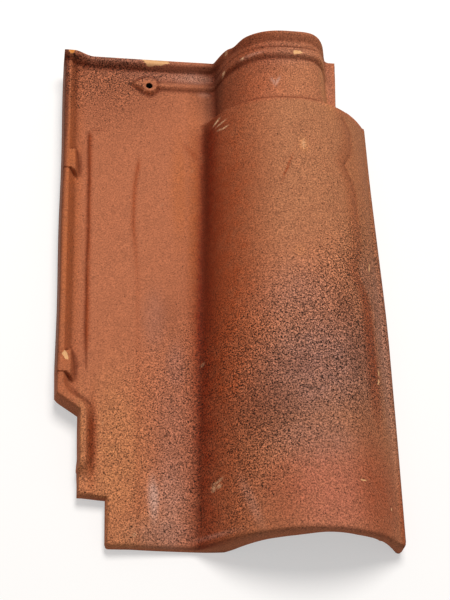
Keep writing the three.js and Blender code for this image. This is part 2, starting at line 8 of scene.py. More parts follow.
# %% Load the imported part
import math
import bpy
import numpy as np
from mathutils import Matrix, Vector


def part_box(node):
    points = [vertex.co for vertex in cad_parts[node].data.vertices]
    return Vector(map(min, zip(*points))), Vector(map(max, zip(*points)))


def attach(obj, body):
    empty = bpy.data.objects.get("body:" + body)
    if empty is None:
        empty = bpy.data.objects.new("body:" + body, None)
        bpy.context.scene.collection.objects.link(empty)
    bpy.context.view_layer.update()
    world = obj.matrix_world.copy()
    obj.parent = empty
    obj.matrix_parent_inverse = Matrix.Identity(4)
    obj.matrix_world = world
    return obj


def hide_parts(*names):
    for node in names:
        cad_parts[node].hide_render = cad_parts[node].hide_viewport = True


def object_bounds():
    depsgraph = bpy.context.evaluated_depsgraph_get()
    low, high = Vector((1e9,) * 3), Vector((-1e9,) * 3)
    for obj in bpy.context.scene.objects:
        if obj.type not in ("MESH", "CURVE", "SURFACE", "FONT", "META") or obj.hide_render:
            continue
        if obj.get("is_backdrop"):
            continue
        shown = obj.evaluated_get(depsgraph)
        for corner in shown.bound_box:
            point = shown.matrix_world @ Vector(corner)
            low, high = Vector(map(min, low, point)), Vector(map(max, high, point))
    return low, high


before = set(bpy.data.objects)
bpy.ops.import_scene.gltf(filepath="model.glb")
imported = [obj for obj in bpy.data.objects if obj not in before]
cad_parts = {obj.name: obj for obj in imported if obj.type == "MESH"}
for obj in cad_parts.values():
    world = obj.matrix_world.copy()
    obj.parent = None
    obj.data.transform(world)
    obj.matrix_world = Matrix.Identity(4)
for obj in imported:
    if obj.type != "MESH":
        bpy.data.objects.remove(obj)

cad_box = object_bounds()
cad_low, cad_high = (np.array(corner) * 1000 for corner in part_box("roof_tile"))
print("the packed tile spans, in mm:", np.round(cad_high - cad_low, 1))

# %% [markdown]
# ## Sizes
# The tile is one slab of clay, squeezed between an upper and a lower plaster die. So its shape is
# two height fields, one for each face, that meet at a rim. Sizes are in mm, in a plan: x runs from
# the left edge to the right edge, y from the tail (the lower end on a roof) to the head, and z = 0
# is the top of the pan.

# %% Sizes of the tile, in mm
WIDTH = 275.0
LENGTH = 452.0
BODY = 10.0  # wall of the pan and the roll
SIDE_BOW, BOW_MIDDLE = 0.5, 175.0  # the right edge bowed out in the fire, most at 175 mm
SIDE_IN_HEAD, SIDE_IN_TAIL = 2.2, 3.4  # and stands in this much more at its ends
EDGE_WAVE = 0.6  # the left edge waves this much outwards

RIB_HEIGHT = 8.0  # side rib along the left edge
RIB_INNER, RIB_FOOT = 6.4, 13.0  # distances in from the left outline
FIELD_EDGE, FIELD_HEAD = 24.6, 373.0  # left and head edges of the pan's raised field
FIELD_RISE = 1.4
FIELD_FADE = (140.0, 151.0)  # its left edge dies away between these
FIELD_TAIL = (50.0, 150.0)  # and the field itself between these

# cut-outs at the tail's left corner, where four tiles meet: widths, and how far up they reach
NOTCH_WIDE, NOTCH_WIDE_TOP = 40.4, 40.2
NOTCH_SLIM, NOTCH_SLIM_TOP = 18.5, 107.4
NOTCH_RISE = 12.8  # height of the slanted shoulder above that
RIB_TAIL = (55.0, 66.0)  # the side rib dies away between these

SHOULDER = 388.0  # the roll ends here and the slimmer collar starts
SHOULDER_DRAFT = 0.1
ROLL_BASE, HOLLOW_BASE = -6.0, -12.0
# the roll at the tail and at the shoulder: x and height of its crown, then its half widths to the
# left and to the right, outside and inside
ROLL_CROWN = (196.0, 203.0)
ROLL_HEIGHT = (52.5, 57.0)
ROLL_HALVES = ((82.0, 77.0), (80.0, 75.0))
HOLLOW_HALVES = ((76.0, 67.0), (72.5, 67.5))
FOOT_LEDGE = 9.5  # height of the roll's right foot
FOOT_UNDER_HEAD = 0.5  # its underside stands in the next tile's channel
FOOT_UNDER_TAIL = -10.0  # and hangs past its cut-out corner at the tail
FOOT_STEP = (104.0, 112.0)

COLLAR_CROWN = 200.0
COLLAR_HEIGHT = 53.8
# half width, power and softness of the collar's arch to the left and to the right
COLLAR_SIDES = ((63.5, 2.8, 0.7), (38.2, 3.7, 0.6))
COLLAR_HOLLOW_SIDES = ((53.0, 3.0, 0.7), (29.5, 4.0, 0.6))
COLLAR_EDGE = 248.5
FLANGE_SPLAY = 2.0  # the flange widens this much in 32 mm
FLANGE_TOP = 20.5
FLANGE_UNDER = 10.5

CORNER_LIFT = 7.5  # the head's left corner stands up this much more
DISH = 3.2  # the pan sinks this much beside the roll at the tail
NAIL_X, NAIL_Y, NAIL_RADIUS = 77.0, 425.2, 2.75
print("clay wall:", BODY, "mm; nail hole:", 2 * NAIL_RADIUS, "mm across")

# %% [markdown]
# ## Small helpers for shapes
# Nearly every form here is one height that eases into another, by a smooth ramp, a swelling, a
# filleted maximum or an arch. The helpers take whole arrays, so no loop visits a vertex.

# %% Ramps, swellings, fillets and arches
def mix(a, b, share):
    """a and b blended: a plus share times (b - a)."""
    return a + (b - a) * share


def ease(start, end, value):
    """0 before start, 1 after end, and 3t^2 - 2t^3 of the way t between them."""
    t = np.clip((value - start) / (end - start), 0, 1)
    return t * t * (3 - 2 * t)


def swell(value, centre, width):
    """1 at the centre and exp(-(distance / width)^2) beside it."""
    return np.exp(-(((value - centre) / width) ** 2))


def fillet_max(a, b, size):
    """The higher of a and b, plus size/4 times the square of how near they are, as a fillet."""
    near = np.maximum(size - np.abs(a - b), 0) / size
    return np.maximum(a, b) + near**2 * size / 4


def fillet_min(a, b, size):
    """The lower of a and b, less the same fillet."""
    return -fillet_max(-a, -b, size)


def arch(x, crown, left, right):
    """1 at the crown: level = 1 - (distance / half)^power, then |level|^softness with its sign.
    Each side has its own (half, power, softness)."""
    half, power, softness = (np.where(x < crown, a, b) for a, b in zip(left, right))
    level = 1 - (np.abs(x - crown) / half) ** power
    return np.sign(level) * np.abs(level) ** softness


def ripple(x, y, *waves):
    """A sum of slow sines: height * sin(x / across + y / along + phase), for hand-made unevenness."""
    return sum(h * np.sin(x / across + y / along + phase) for h, across, along, phase in waves)


# %% [markdown]
# ## The outline in plan
# The tile's left side steps in twice at the tail, with a slanted shoulder between. The distance from
# that bent edge steers the side rib, so the rib follows the bend with an even width.

# %% Edges in plan
def left_edge(y):
    """x of the left outline: 18.5 at the tail, then a straight slant to 0."""
    return NOTCH_SLIM * (1 - np.clip((y - NOTCH_SLIM_TOP) / NOTCH_RISE, 0, 1))


def right_edge(y):
    """x of the right outline: widest at the bow, eased in to the head, nearly straight to the tail."""
    to_tail = np.maximum(1 - y / BOW_MIDDLE, 0) ** 1.15
    return WIDTH + SIDE_BOW - SIDE_IN_HEAD * ease(190, 350, y) - SIDE_IN_TAIL * to_tail


def lock_distance(x, y):
    """Distance in from the bent left outline: its three straight lines joined by soft corners."""
    up = y - NOTCH_SLIM_TOP - NOTCH_RISE
    slant = (x * NOTCH_RISE + up * NOTCH_SLIM) / math.hypot(NOTCH_RISE, NOTCH_SLIM)
    return fillet_min(x, fillet_max(slant, x - NOTCH_SLIM, 7), 7)


# %% [markdown]
# ## The upper face
# The pan carries the side rib, two stepped water bars that stop driven rain, a raised field and the
# boss of the nail hole. The roll is an arch whose crown, width and height change from tail to
# shoulder. Beyond the shoulder a slimmer collar goes under the next tile. Two ribs cross the head.

# %% Pan, side rib, water bars and boss
def pan_floor(x, y):
    """The pan: a raised field less a dish that deepens towards the tail, beside the roll."""
    lock = lock_distance(x, y)
    wander = 0.5 * np.sin(y / 27) + 0.3 * np.sin(y / 9)
    side = ease(FIELD_EDGE - 0.9, FIELD_EDGE + 0.9, lock + wander)
    side = np.maximum(side, 1 - ease(*FIELD_FADE, y))
    end = mix(1, ease(FIELD_HEAD + 2.5, FIELD_HEAD - 1.0, y), 1 - ease(28, 46, x))
    beyond = 1 - ease(FIELD_HEAD + 2.5, FIELD_HEAD + 30, y)
    field = FIELD_RISE * side * ease(*FIELD_TAIL, y) * np.minimum(end, beyond)
    return field - DISH * ease(30, 112, x) * (1 - y / LENGTH)


def side_rib(x, y):
    """Rib height by distance from the edge: a low crown, then (1 - t)^1.5 down to the foot."""
    lock = lock_distance(x, y)
    crown = 0.5 * (1 - ((np.minimum(lock, RIB_INNER) - 4) / 4) ** 2)
    down = np.clip((lock - RIB_INNER) / (RIB_FOOT - RIB_INNER), 0, 1)
    down = down**2 / (down + 0.08) * 1.08
    return (RIB_HEIGHT + crown) * ease(*RIB_TAIL, y) * (1 - down) ** 1.5


BAR_HEADS = (350.4, 158.4)  # each bar runs from here towards the tail
BAR_LENGTH = 21.6
BAR_HEIGHT, BAR_FALL = 10.2, 0.1  # its top falls this much for each mm towards the pan
BAR_SIDE, BAR_FOOT = 11.4, 16.6  # its side slopes down between these
TOE_LENGTH = 8.5


def water_bars(x, y):
    """Each bar: a block over the rib with a sloping side, and a toe that falls to a point."""
    height = np.zeros_like(x)
    for head in BAR_HEADS:
        past = y - (head - BAR_LENGTH)
        toe = np.minimum(past / TOE_LENGTH + 1, ((x - 7) * 6 + past * 8) / 27)
        along = ease(0, 1, np.maximum((past + 0.6) / 2.2, toe))
        along *= 1 - ease(BAR_LENGTH - 2, BAR_LENGTH + 0.4 + 4 * ease(7, 12, x), past)
        foot = BAR_FOOT - 3 * np.clip((past - 11) / 14, 0, 1)
        side = 1 - ease(BAR_SIDE, foot, x)
        height = np.maximum(height, (BAR_HEIGHT - BAR_FALL * x) * along * side)
    return height


BOSS_LEFT, BOSS_RIGHT = 17.4, 8.6  # how far the boss reaches from the nail hole
BOSS_HALF, BOSS_HEIGHT = 10.0, 4.2


def boss(x, y):
    """A lemon shape round the nail hole, with a long point towards the left edge."""
    dx = x - NAIL_X
    dy = y - NAIL_Y - 1.6 - 0.1 * np.maximum(-dx, 0)
    on_left = dx < 0
    reach = np.where(on_left, -dx / BOSS_LEFT, dx / BOSS_RIGHT)
    level = np.maximum(1 - reach ** np.where(on_left, 1.35, 2.0), 0) ** np.where(on_left, 1.0, 0.5)
    inside = (BOSS_HALF * level - np.abs(dy)) * np.where(on_left, 0.86, 1.0)
    plateau = BOSS_HEIGHT - 0.1 * np.maximum(-dx - 6, 0)
    return plateau * np.clip(inside / 2.4, 0, 1) ** 0.9


# %% Roll, skirt and collar
def roll_arch(x, y, halves):
    """(height of the crown, share of it at x) for half widths that, like the crown, change in
    straight lines from tail to shoulder."""
    t = np.clip(y / SHOULDER, 0, 1)
    left, right = (mix(*half, t) for half in halves)
    left = (left, mix(2.0, 2.8, t), mix(0.8, 0.75, t))
    return mix(*ROLL_HEIGHT, t), arch(x, mix(*ROLL_CROWN, t), left, (right, 2.0, 0.8))


def skirt_line(y):
    """x of the crease above the right foot. It wanders: the clay was trimmed while soft."""
    swings = 9 * swell(y, 325, 13) + 8 * swell(y, 223, 16)
    return 250 - swings + 5 * ease(240, 195, y) - 7 * ease(364, 378, y)


def roll_top(x, y):
    """The roll's arch over its base, less a step of 0.9 mm and a groove along the skirt line."""
    height, share = roll_arch(x, y, ROLL_HALVES)
    beyond = x - skirt_line(y)
    crease = 0.9 * ease(-3.5, 3.5, beyond) * ease(24, 6, beyond) + 0.75 * swell(beyond, 0, 3.2)
    return ROLL_BASE + (height - ROLL_BASE) * share - crease * ease(90, 200, y) * ease(384, 372, y)


def collar_top(x):
    """The collar: a squarer arch that comes down on a flat flange at its right edge."""
    share = arch(x, COLLAR_CROWN, *COLLAR_SIDES)
    collar = ROLL_BASE + (COLLAR_HEIGHT - ROLL_BASE) * share
    return np.where(x > COLLAR_CROWN, fillet_max(collar, FLANGE_TOP, 15), collar)


# heights of both ribs on the pan and on the collar, and y of the second one's crest
END_RIB, SECOND_RIB = (8.0, 5.6), (3.2, 4.0)
SECOND_CREST = (427.0, 430.4)


def head_ribs(x, y):
    """Two ribs: a ramp at the end, with a gap at the collar's foot, and a low one 20 mm before it,
    steep on its tail side. On the collar a shelf joins them. Heights are square to the surface, so
    a steep flank gets sqrt(1 + slope^2) times more."""
    on_collar = ease(132, 146, x)
    end_rib = mix(*END_RIB, on_collar) * ease(443.5, mix(448.2, 450.5, on_collar), y)
    shelf = 2.6 * on_collar * ease(435.5, 440.5, y)
    crest, flat, fall = mix(*SECOND_CREST, on_collar), 5.5 * on_collar, mix(7.5, 2.4, on_collar)
    wave = ease(crest - 3.8, crest, y) * (1 - ease(crest + flat, crest + flat + fall, y))
    second = mix(*SECOND_RIB, on_collar) * wave * ease(80, 88, x)
    gap = 1.2 * swell(x, 141, 4) - 5.0 * swell(x, 150.5, 4.5)
    end_rib = end_rib + gap * ease(442, 449, y)
    slope = (collar_top(x + 0.5) - collar_top(x - 0.5)) * on_collar
    square = np.sqrt(1 + np.clip(slope, -1.2, 1.2) ** 2)
    return np.maximum(end_rib + shelf, second * square) * (1 - ease(230, 242, x))


def top_height(x, y, v):
    """Upper face at (x, y). v is y before the shoulder's draft: the step lies on v = 388."""
    pan = pan_floor(x, y)
    side = side_rib(x, y)
    head = head_ribs(x, y) + CORNER_LIFT * (1 - ease(8, 27, x)) * ease(437, 449, y)
    raised = fillet_max(side, head, np.clip(np.minimum(side, head), 0.01, 3))
    raised = np.maximum(raised, water_bars(x, y))
    raised = fillet_max(raised, boss(x, y), 0.5) - 0.125
    valley = mix(9, 22, 1 - ease(0, 260, y))
    roll = fillet_max(pan, roll_top(x, y), valley)
    ledge = FOOT_LEDGE + 0.25 * (WIDTH - x)
    roll = np.where(x > COLLAR_CROWN, fillet_max(roll, ledge, 1.5), roll)
    collar = fillet_max(pan, collar_top(x), mix(7, 16, ease(436, 450, y)))
    step = np.sqrt(1 - np.clip((v - SHOULDER + 1.6) / 1.6, 0, 1) ** 2)
    step = np.where(x > COLLAR_EDGE - 0.5, 1, step)
    return collar + (roll - collar) * step + raised + ripple(
        x, y, (0.16, 23, 61, 0.4), (0.12, -37, 29, 2.2), (0.08, 13, -17, 4.0)
    )


# %% [markdown]
# ## The underside
# The lower die leaves an even wall: the pan's underside is flat, the roll is hollow, and the collar
# has its own smaller hollow. Two nibs hang under the head, to hook over a roof batten.

# %% Underside
NIB_X = (42.0, 104.0)
NIB_HALF, NIB_DEPTH, NIB_DRAFT = 13.0, 13.0, 2.0
NIB_Y = (436.0, 449.0)


def nib_depth(x, y):
    """Two blocks 26 mm wide and 13 mm deep, each side a straight slope over 2 mm."""
    along = np.minimum(y - NIB_Y[0] + NIB_DRAFT, NIB_Y[1] - y) / NIB_DRAFT
    across = np.maximum(*[(NIB_HALF - np.abs(x - nib)) / NIB_DRAFT for nib in NIB_X])
    return NIB_DEPTH * np.clip(np.minimum(along, across), 0, 1)


def under_height(x, y):
    """Lower face: pan, roll hollow and foot, then the collar's hollow beyond y = 378."""
    pan = -BODY - DISH * ease(30, 112, x) * (1 - y / LENGTH) - nib_depth(x, y)
    height, share = roll_arch(x, y, HOLLOW_HALVES)
    roll = fillet_max(pan, HOLLOW_BASE + (height - BODY - HOLLOW_BASE) * share, 8)
    foot = mix(FOOT_UNDER_TAIL, FOOT_UNDER_HEAD, ease(*FOOT_STEP, y))
    roll = np.where(x > COLLAR_CROWN, np.maximum(roll, foot), roll)
    share = arch(x, COLLAR_CROWN, *COLLAR_HOLLOW_SIDES)
    inner = HOLLOW_BASE + (COLLAR_HEIGHT - BODY - HOLLOW_BASE) * share
    inner = np.where(x > COLLAR_CROWN, np.maximum(inner, FLANGE_UNDER), inner)
    past = ease(376.8, 378.8, y) * (1 - ease(COLLAR_EDGE + 0.6, COLLAR_EDGE + 1.8, x))
    return mix(roll, fillet_max(pan, inner, 8), past)


# %% [markdown]
# ## Damage
# Roof tiles get knocked in the yard. A chip is a shallow scoop, a squarish ellipse with a ragged
# edge, that bares the paler clay under the skin. Its depth goes into the shape, and the distance to
# its edge is kept on the mesh, so that the colour of the bare clay fits the scoop.

# %% Chips
CHIPS = (
    # x, y, half length, half width, turn in degrees, depth
    (82.6, 449.0, 12.3, 2.5, 0, 0.5),       # end rib, beside the nail boss
    (6.4, 449.6, 2.6, 2.0, 8, 0.45),        # raised corner
    (203.3, 431.4, 4.1, 2.0, 4, 0.7),       # collar rib, at the crown
    (7.7, 152.3, 4.3, 2.0, -62, 0.8),       # second water bar
    (260.2, 235.0, 5.8, 0.8, 80, 0.6),      # skirt
    (257.8, 129.5, 3.6, 0.9, 72, 0.6),
    (259.2, 138.4, 3.4, 0.8, 98, 0.6),
    (232.8, 40.6, 3.6, 0.8, 2, 0.4),        # roll, near the tail
    (237.5, 42.2, 1.2, 0.6, 60, 0.3),
    (230.1, 87.6, 0.9, 0.8, 0, 0.4),
    (258.9, 24.6, 0.8, 1.5, 0, 0.4),
)
NO_CHIP = -9.0  # mm inside the nearest chip, where none is near


def turned_ellipse(x, y, cx, cy, half_long, half_wide, turn=0):
    """Distances along and across an ellipse turned by some degrees, in units of its half sizes."""
    cos, sin = math.cos(math.radians(turn)), math.sin(math.radians(turn))
    a = ((x - cx) * cos + (y - cy) * sin) / half_long
    return a, ((y - cy) * cos - (x - cx) * sin) / half_wide


def chip_field(x, y):
    """(mm inside the nearest chip's edge, depth of its scoop). With a and b along and across, the
    share inside is 1 less the cube root of |a|^3 + |b|^3, over a factor that makes it ragged."""
    inside, depth = np.full_like(x, NO_CHIP), np.zeros_like(x)
    for cx, cy, long, short, turn, deep in CHIPS:
        a, b = turned_ellipse(x, y, cx, cy, long, short, turn)
        angle = np.arctan2(b, a)
        ragged = 1 + 0.13 * np.sin(3 * angle + cx) + 0.09 * np.sin(7 * angle + cy)
        share = 1 - np.cbrt(np.abs(a) ** 3 + np.abs(b) ** 3) / ragged
        inside = np.maximum(inside, share * short)
        depth = np.maximum(depth, deep * ease(0, 0.4, share))
    return inside, depth


# %% [markdown]
# ## The grid
# The top is a grid of points (u, v), with its lines close together where the shape turns sharply.
# `plan` bends the grid so that its lines follow the bent left edge, the bowed right edge and the
# leaning shoulder. An inset moves the grid in from the outline, which gives every edge its draft.

# %% Grid lines
def lines(*blocks):
    """Grid line places: each block (start, end, count) is count equal steps."""
    steps = [np.linspace(a, b, count, endpoint=False) for a, b, count in blocks]
    return np.append(np.concatenate(steps), blocks[-1][1])


BEND_END = 70.0  # the left edge's bend has died away this far in
NOTCH_U = (NOTCH_WIDE - NOTCH_SLIM) / (1 - NOTCH_SLIM / BEND_END)
HOLE_U, HOLE_V = (71.0, 83.0), (419.2, 431.2)  # a square patch is left open for the nail hole

TOP_U = lines(
    (0, 2, 4), (2, NOTCH_U, 44), (NOTCH_U, 34.5, 4), (34.5, HOLE_U[0], 18), (*HOLE_U, 8),
    (HOLE_U[1], 125, 20), (125, 160, 30), (160, 246, 52), (246, COLLAR_EDGE, 4),
    (COLLAR_EDGE, 251.5, 4), (251.5, 268, 14), (268, WIDTH, 12),
)
TOP_V = lines(
    (0, 4.2, 8), (4.2, 38, 14), (38, NOTCH_WIDE_TOP, 2), (NOTCH_WIDE_TOP, 44.2, 6), (44.2, 56, 12),
    (56, 70, 10), (70, 104, 14), (104, 124, 18), (124, 140, 20), (140, 156, 6), (156, 159.5, 8),
    (159.5, 316, 52), (316, 332, 20), (332, 348, 6), (348, 351.5, 8), (351.5, 364, 4), (364, 374, 10),
    (374, 386, 12), (386, SHOULDER, 8), (SHOULDER, 391, 6), (391, HOLE_V[0], 20),
    (*HOLE_V, 16), (HOLE_V[1], 450, 24), (450, LENGTH, 4),
)
UNDER_U = lines(
    (0, 3, 3), (3, 28.6, 13), (28.6, NOTCH_U, 8), (NOTCH_U, 52.6, 4), (52.6, 55.4, 4),
    (55.4, HOLE_U[0], 3), (*HOLE_U, 4), (HOLE_U[1], 90.6, 2), (90.6, 93.4, 4), (93.4, 114.6, 4),
    (114.6, 117.4, 4), (117.4, 130, 5), (130, 165, 14), (165, 225, 12), (225, COLLAR_EDGE, 8),
    (COLLAR_EDGE, 250.5, 3), (250.5, 267, 7), (267, WIDTH, 5),
)
UNDER_V = lines(
    (0, 3, 2), (3, NOTCH_WIDE_TOP, 10), (NOTCH_WIDE_TOP, 103, 18), (103, 113, 12), (113, 376, 62),
    (376, 380, 8), (380, SHOULDER, 7), (SHOULDER, HOLE_V[0], 13), (*HOLE_V, 8),
    (HOLE_V[1], 437, 6), (437, 446.6, 3), (446.6, 449.4, 4), (449.4, LENGTH, 1),
)
print("lines across and along:", TOP_U.size, TOP_V.size, "above,", UNDER_U.size, UNDER_V.size, "below")

# %% [markdown]
# ## Rounded edges
# The edges of pressed clay are never sharp. Near each edge the height drops by a quarter circle:
# radius less the root of radius squared less (radius less distance) squared.

# %% Rounding over
def round_over(distance, radius):
    """The drop of a quarter circle at this distance in from an edge; 0 past the radius."""
    short = radius - np.clip(distance, 0, radius)
    return radius - np.sqrt(radius**2 - short**2)


# %% From the grid to the plan
def hat(value, centre, width):
    """1 at the centre, falling in a straight line to 0 at width on either side."""
    return np.maximum(1 - np.abs(value - centre) / width, 0)


def tail_edge(u):
    """y of the tail's outline: pushed out a little at the valley and at the roll's foot."""
    bulges = 0.9 * swell(u, 118, 26) + 1.6 * ease(254, 270, u) - 0.6 * ease(85, 50, u)
    corners = round_over(u - NOTCH_U, 3.0) + round_over(WIDTH - u, 1.6)
    return corners - bulges


def plan(u, v, inset, height):
    """Grid (u, v) to plan (x, y). inset: how far the left, notch, tail, right and head edges
    stand in from the outline. height leans the shoulder back, by a tenth of itself."""
    left, notch, tail, right, head = inset
    y = v + tail * hat(v, 0, 14) + notch * hat(v, NOTCH_WIDE_TOP, 9) - head * hat(v, LENGTH, 14)
    y = y + tail_edge(u) * hat(v, 0, 34)
    y = y - 2.0 * ease(NOTCH_U - 30, NOTCH_U + 4, u) * hat(v, NOTCH_WIDE_TOP, 20)
    near = np.clip(1 - u / BEND_END, 0, 1)
    wave = -EDGE_WAVE * (0.5 + 0.5 * np.sin(y / 23 + 2.2)) * ease(120, 150, y)
    burr = 1.2 * hat(v, 61, 2.6) - 0.7 * ease(100, 50, v)
    x = u + (left_edge(y) + wave - burr + left) * near
    x = x + notch * (hat(u, NOTCH_U, 9) * (v < SHOULDER) - hat(u, COLLAR_EDGE, 9) * (v > 300))
    x = x + FLANGE_SPLAY * (v - 430) / 32 * hat(u, COLLAR_EDGE, 12) * ease(380, SHOULDER, v)
    far = np.clip((u - 225) / (WIDTH - 225), 0, 1)
    x = x + (right_edge(y) - WIDTH - right) * far
    y = y - SHOULDER_DRAFT * height * hat(v, SHOULDER, 26)
    return x, y


# %% Drop along every edge
def edge_drop(u, v, y):
    """The deepest drop of all edges near a point, each with its own radius."""
    on_slant = (y > NOTCH_SLIM_TOP) & (y < NOTCH_SLIM_TOP + NOTCH_RISE)
    square = np.where(on_slant, NOTCH_RISE / math.hypot(NOTCH_RISE, NOTCH_SLIM), 1.0)
    tail_notch = np.hypot(np.maximum(u - NOTCH_U, 0), np.maximum(v - NOTCH_WIDE_TOP, 0))
    head_notch = np.hypot(np.maximum(COLLAR_EDGE - u, 0), np.maximum(SHOULDER - v, 0))
    head_notch = np.where((u < COLLAR_EDGE) & (v < SHOULDER), 9.0, head_notch)
    return np.maximum.reduce([
        round_over(u * square, 1.3),  # left
        round_over(tail_notch, 2.4),
        round_over(head_notch, 1.6),
        round_over(v, 3.2),  # tail
        round_over(WIDTH - u, 2.2),  # right
        round_over(LENGTH - v, mix(1.3, 1.8, ease(128, 140, u))),  # head
    ])


# %% [markdown]
# ## Points of both faces
# Each face is three whole arrays, x, y and z. The upper face also gets its chips.

# %% Upper and lower faces
UNDER_INSET = (0.8, 0.9, 1.1, 1.0, 0.9)


def top_inset(v):
    """The upper face stands in by the draft: more along the side rib, but not at its head."""
    along_rib = mix(1.2, 2.0, ease(*RIB_TAIL, v))
    return (mix(along_rib, 0.4, ease(438, 447, v)), 0.8, 0.9, 0.6, 0.2)


def upper_face(u, v):
    """Points of the upper face, after draft, rounding and chips."""
    inset = top_inset(v)
    x, y = plan(u, v, inset, 0)
    height = top_height(x, y, v)
    x, y = plan(u, v, inset, height)
    slope = np.gradient(height, axis=1) / np.gradient(x, axis=1)
    steep = np.clip(np.sqrt(1 + slope**2), 1, 2)
    height = height - edge_drop(u, v, y) * steep
    return np.stack([x, y, height - chip_field(x, y)[1]], axis=-1)


def lower_face(u, v):
    """Points of the lower face."""
    x, y = plan(u, v, UNDER_INSET, 0)
    height = under_height(x, y)
    x, y = plan(u, v, UNDER_INSET, height)
    return np.stack([x, y, height], axis=-1)


top_points = upper_face(*np.meshgrid(TOP_U, TOP_V))
under_points = lower_face(*np.meshgrid(UNDER_U, UNDER_V))
print("points:", top_points.shape[:2], "and", under_points.shape[:2])

# %% [markdown]
# ## Which cells are clay
# Two corners of the grid are outside the tile, and one square is left open for the nail hole.
# Between those places the lower grid takes half as many steps, so one of its edges meets two edges
# above, and a five-sided face joins them.

# %% Cells, rim and joining strips
CORNERS = (
    (NOTCH_U, NOTCH_WIDE_TOP), (COLLAR_EDGE, SHOULDER), *zip(HOLE_U, HOLE_V), (WIDTH, LENGTH)
)


def landmarks(u_lines, v_lines):
    """(row, column) of the notch, the shoulder's step, two corners of the hole patch and the end."""
    return [(np.searchsorted(v_lines, v), np.searchsorted(u_lines, u)) for u, v in CORNERS]


def cell_faces(marks, start, upward):
    """Quads of every clay cell, wound to face up or down."""
    notch, step, low, high, last = marks
    rows, columns = np.mgrid[0 : last[0], 0 : last[1]]
    outside = (rows < notch[0]) & (columns < notch[1])
    outside |= (rows >= step[0]) & (columns >= step[1])
    outside |= (rows >= low[0]) & (rows < high[0]) & (columns >= low[1]) & (columns < high[1])
    width = last[1] + 1
    first = (start + rows * width + columns)[~outside]
    corners = [first, first + 1, first + 1 + width, first + width]
    return np.stack(corners if upward else corners[::-1], axis=-1)


def walk(*stops):
    """(row, column) of each grid point along straight runs between stops, without the last."""
    runs = []
    for start, end in zip(stops, stops[1:]):
        count = np.abs(np.subtract(end, start)).max()
        runs.append(np.linspace(start, end, count, endpoint=False))
    return tuple(np.rint(np.concatenate(runs)).astype(int).T)


def rim_walk(marks):
    """Round the outline, anticlockwise from above, from the tail's left corner."""
    notch, step, _, _, last = marks
    return walk(
        (0, notch[1]), (0, last[1]), (step[0], last[1]), step, (last[0], step[1]), (last[0], 0),
        (notch[0], 0), notch, (0, notch[1]),
    )


def hole_walk(marks):
    """Round the open square, anticlockwise."""
    low, high = marks[2:4]
    return walk(low, (low[0], high[1]), high, (high[0], low[1]), low)


def strip(upper, lower):
    """Quads between two closed loops of one count, facing out of an anticlockwise loop."""
    return np.stack([lower, np.roll(lower, -1), np.roll(upper, -1), upper], axis=-1)


def two_to_one(upper, lower):
    """Five-sided faces between a loop above and a loop of half the count below."""
    ahead = np.roll(upper, -2)[::2]
    return np.stack([lower, np.roll(lower, -1), ahead, upper[1::2], upper[::2]], axis=-1)


# %% [markdown]
# ## Putting the shell together
# A store collects points and faces. The rim is a wall of five loops: the upper face's own edge, one
# part way down, the parting line where the two dies met, and two that round the lower edge. The nail
# hole is a round ring on each face, blended out to the open square, with a tube between.

# %% Collect points and faces
points, quads, pentagons = [], [], []


def add_points(array):
    """Store an array of points and give back their indices, in the same order."""
    start = sum(map(len, points))
    points.append(array.reshape(-1, 3))
    return start + np.arange(len(points[-1]))


def points_at(index):
    """The stored points with these indices."""
    return np.concatenate(points)[index]


top_marks, under_marks = landmarks(TOP_U, TOP_V), landmarks(UNDER_U, UNDER_V)
top_index = add_points(top_points).reshape(top_points.shape[:2])
under_index = add_points(under_points).reshape(under_points.shape[:2])
quads.append(cell_faces(top_marks, top_index[0, 0], True))
quads.append(cell_faces(under_marks, under_index[0, 0], False))

# %% The rim
rim_rows, rim_columns = rim_walk(top_marks)
rim_top = top_index[rim_rows, rim_columns]
rim_under = under_index[rim_walk(under_marks)]
edge_u, edge_v = TOP_U[rim_columns], TOP_V[rim_rows]
edge_top, edge_under = points_at(rim_top), points_at(rim_under)
between = mix(edge_under, np.roll(edge_under, -1, axis=0), 0.5)
below = np.stack([edge_under, between], axis=1).reshape(-1, 3)


def parting_height(u, v, high, low):
    """Height of the line where the dies met: low on the left, high on the right, half way at the
    head, and just over the lower edge at the tail. Smoothed along the rim, kept inside the wall."""
    target = np.where(u < NOTCH_U / 2, -7.0, np.where(u > WIDTH - 1, 7.0, mix(low, high, 0.5)))
    target = np.where(v < 1, low + 2.2, target)
    kernel = np.ones(9) / 9
    target = np.convolve(np.concatenate([target[-4:], target, target[:4]]), kernel, "valid")
    return np.clip(target, low + 1.9, high - 0.8)


def outline_at(height):
    """The outline itself, without any draft, at these heights."""
    return np.stack([*plan(edge_u, edge_v, (0, 0, 0, 0, 0), height), height], axis=-1)


outline = outline_at(parting_height(edge_u, edge_v, edge_top[:, 2], below[:, 2]))
outline_low = outline_at(below[:, 2])
rim_loops = [rim_top, add_points(mix(edge_top, outline, 0.55)), add_points(outline)]
for turn, lift in ((0, 1.3), (45, 0.4)):
    inward = 0.1 + 0.6 * (1 - math.cos(math.radians(turn)))
    loop = mix(outline_low, below, inward)
    loop[:, 2] = below[:, 2] + lift
    rim_loops.append(add_points(loop))
quads += map(strip, rim_loops, rim_loops[1:])
pentagons.append(two_to_one(rim_loops[-1], rim_under))
print("rim:", rim_top.size, "points round the edge")

# %% The nail hole
RING_SHARES = (0.4, 0.7, 0.88, 0.95, 1.0)  # 0 is square, 1 is round


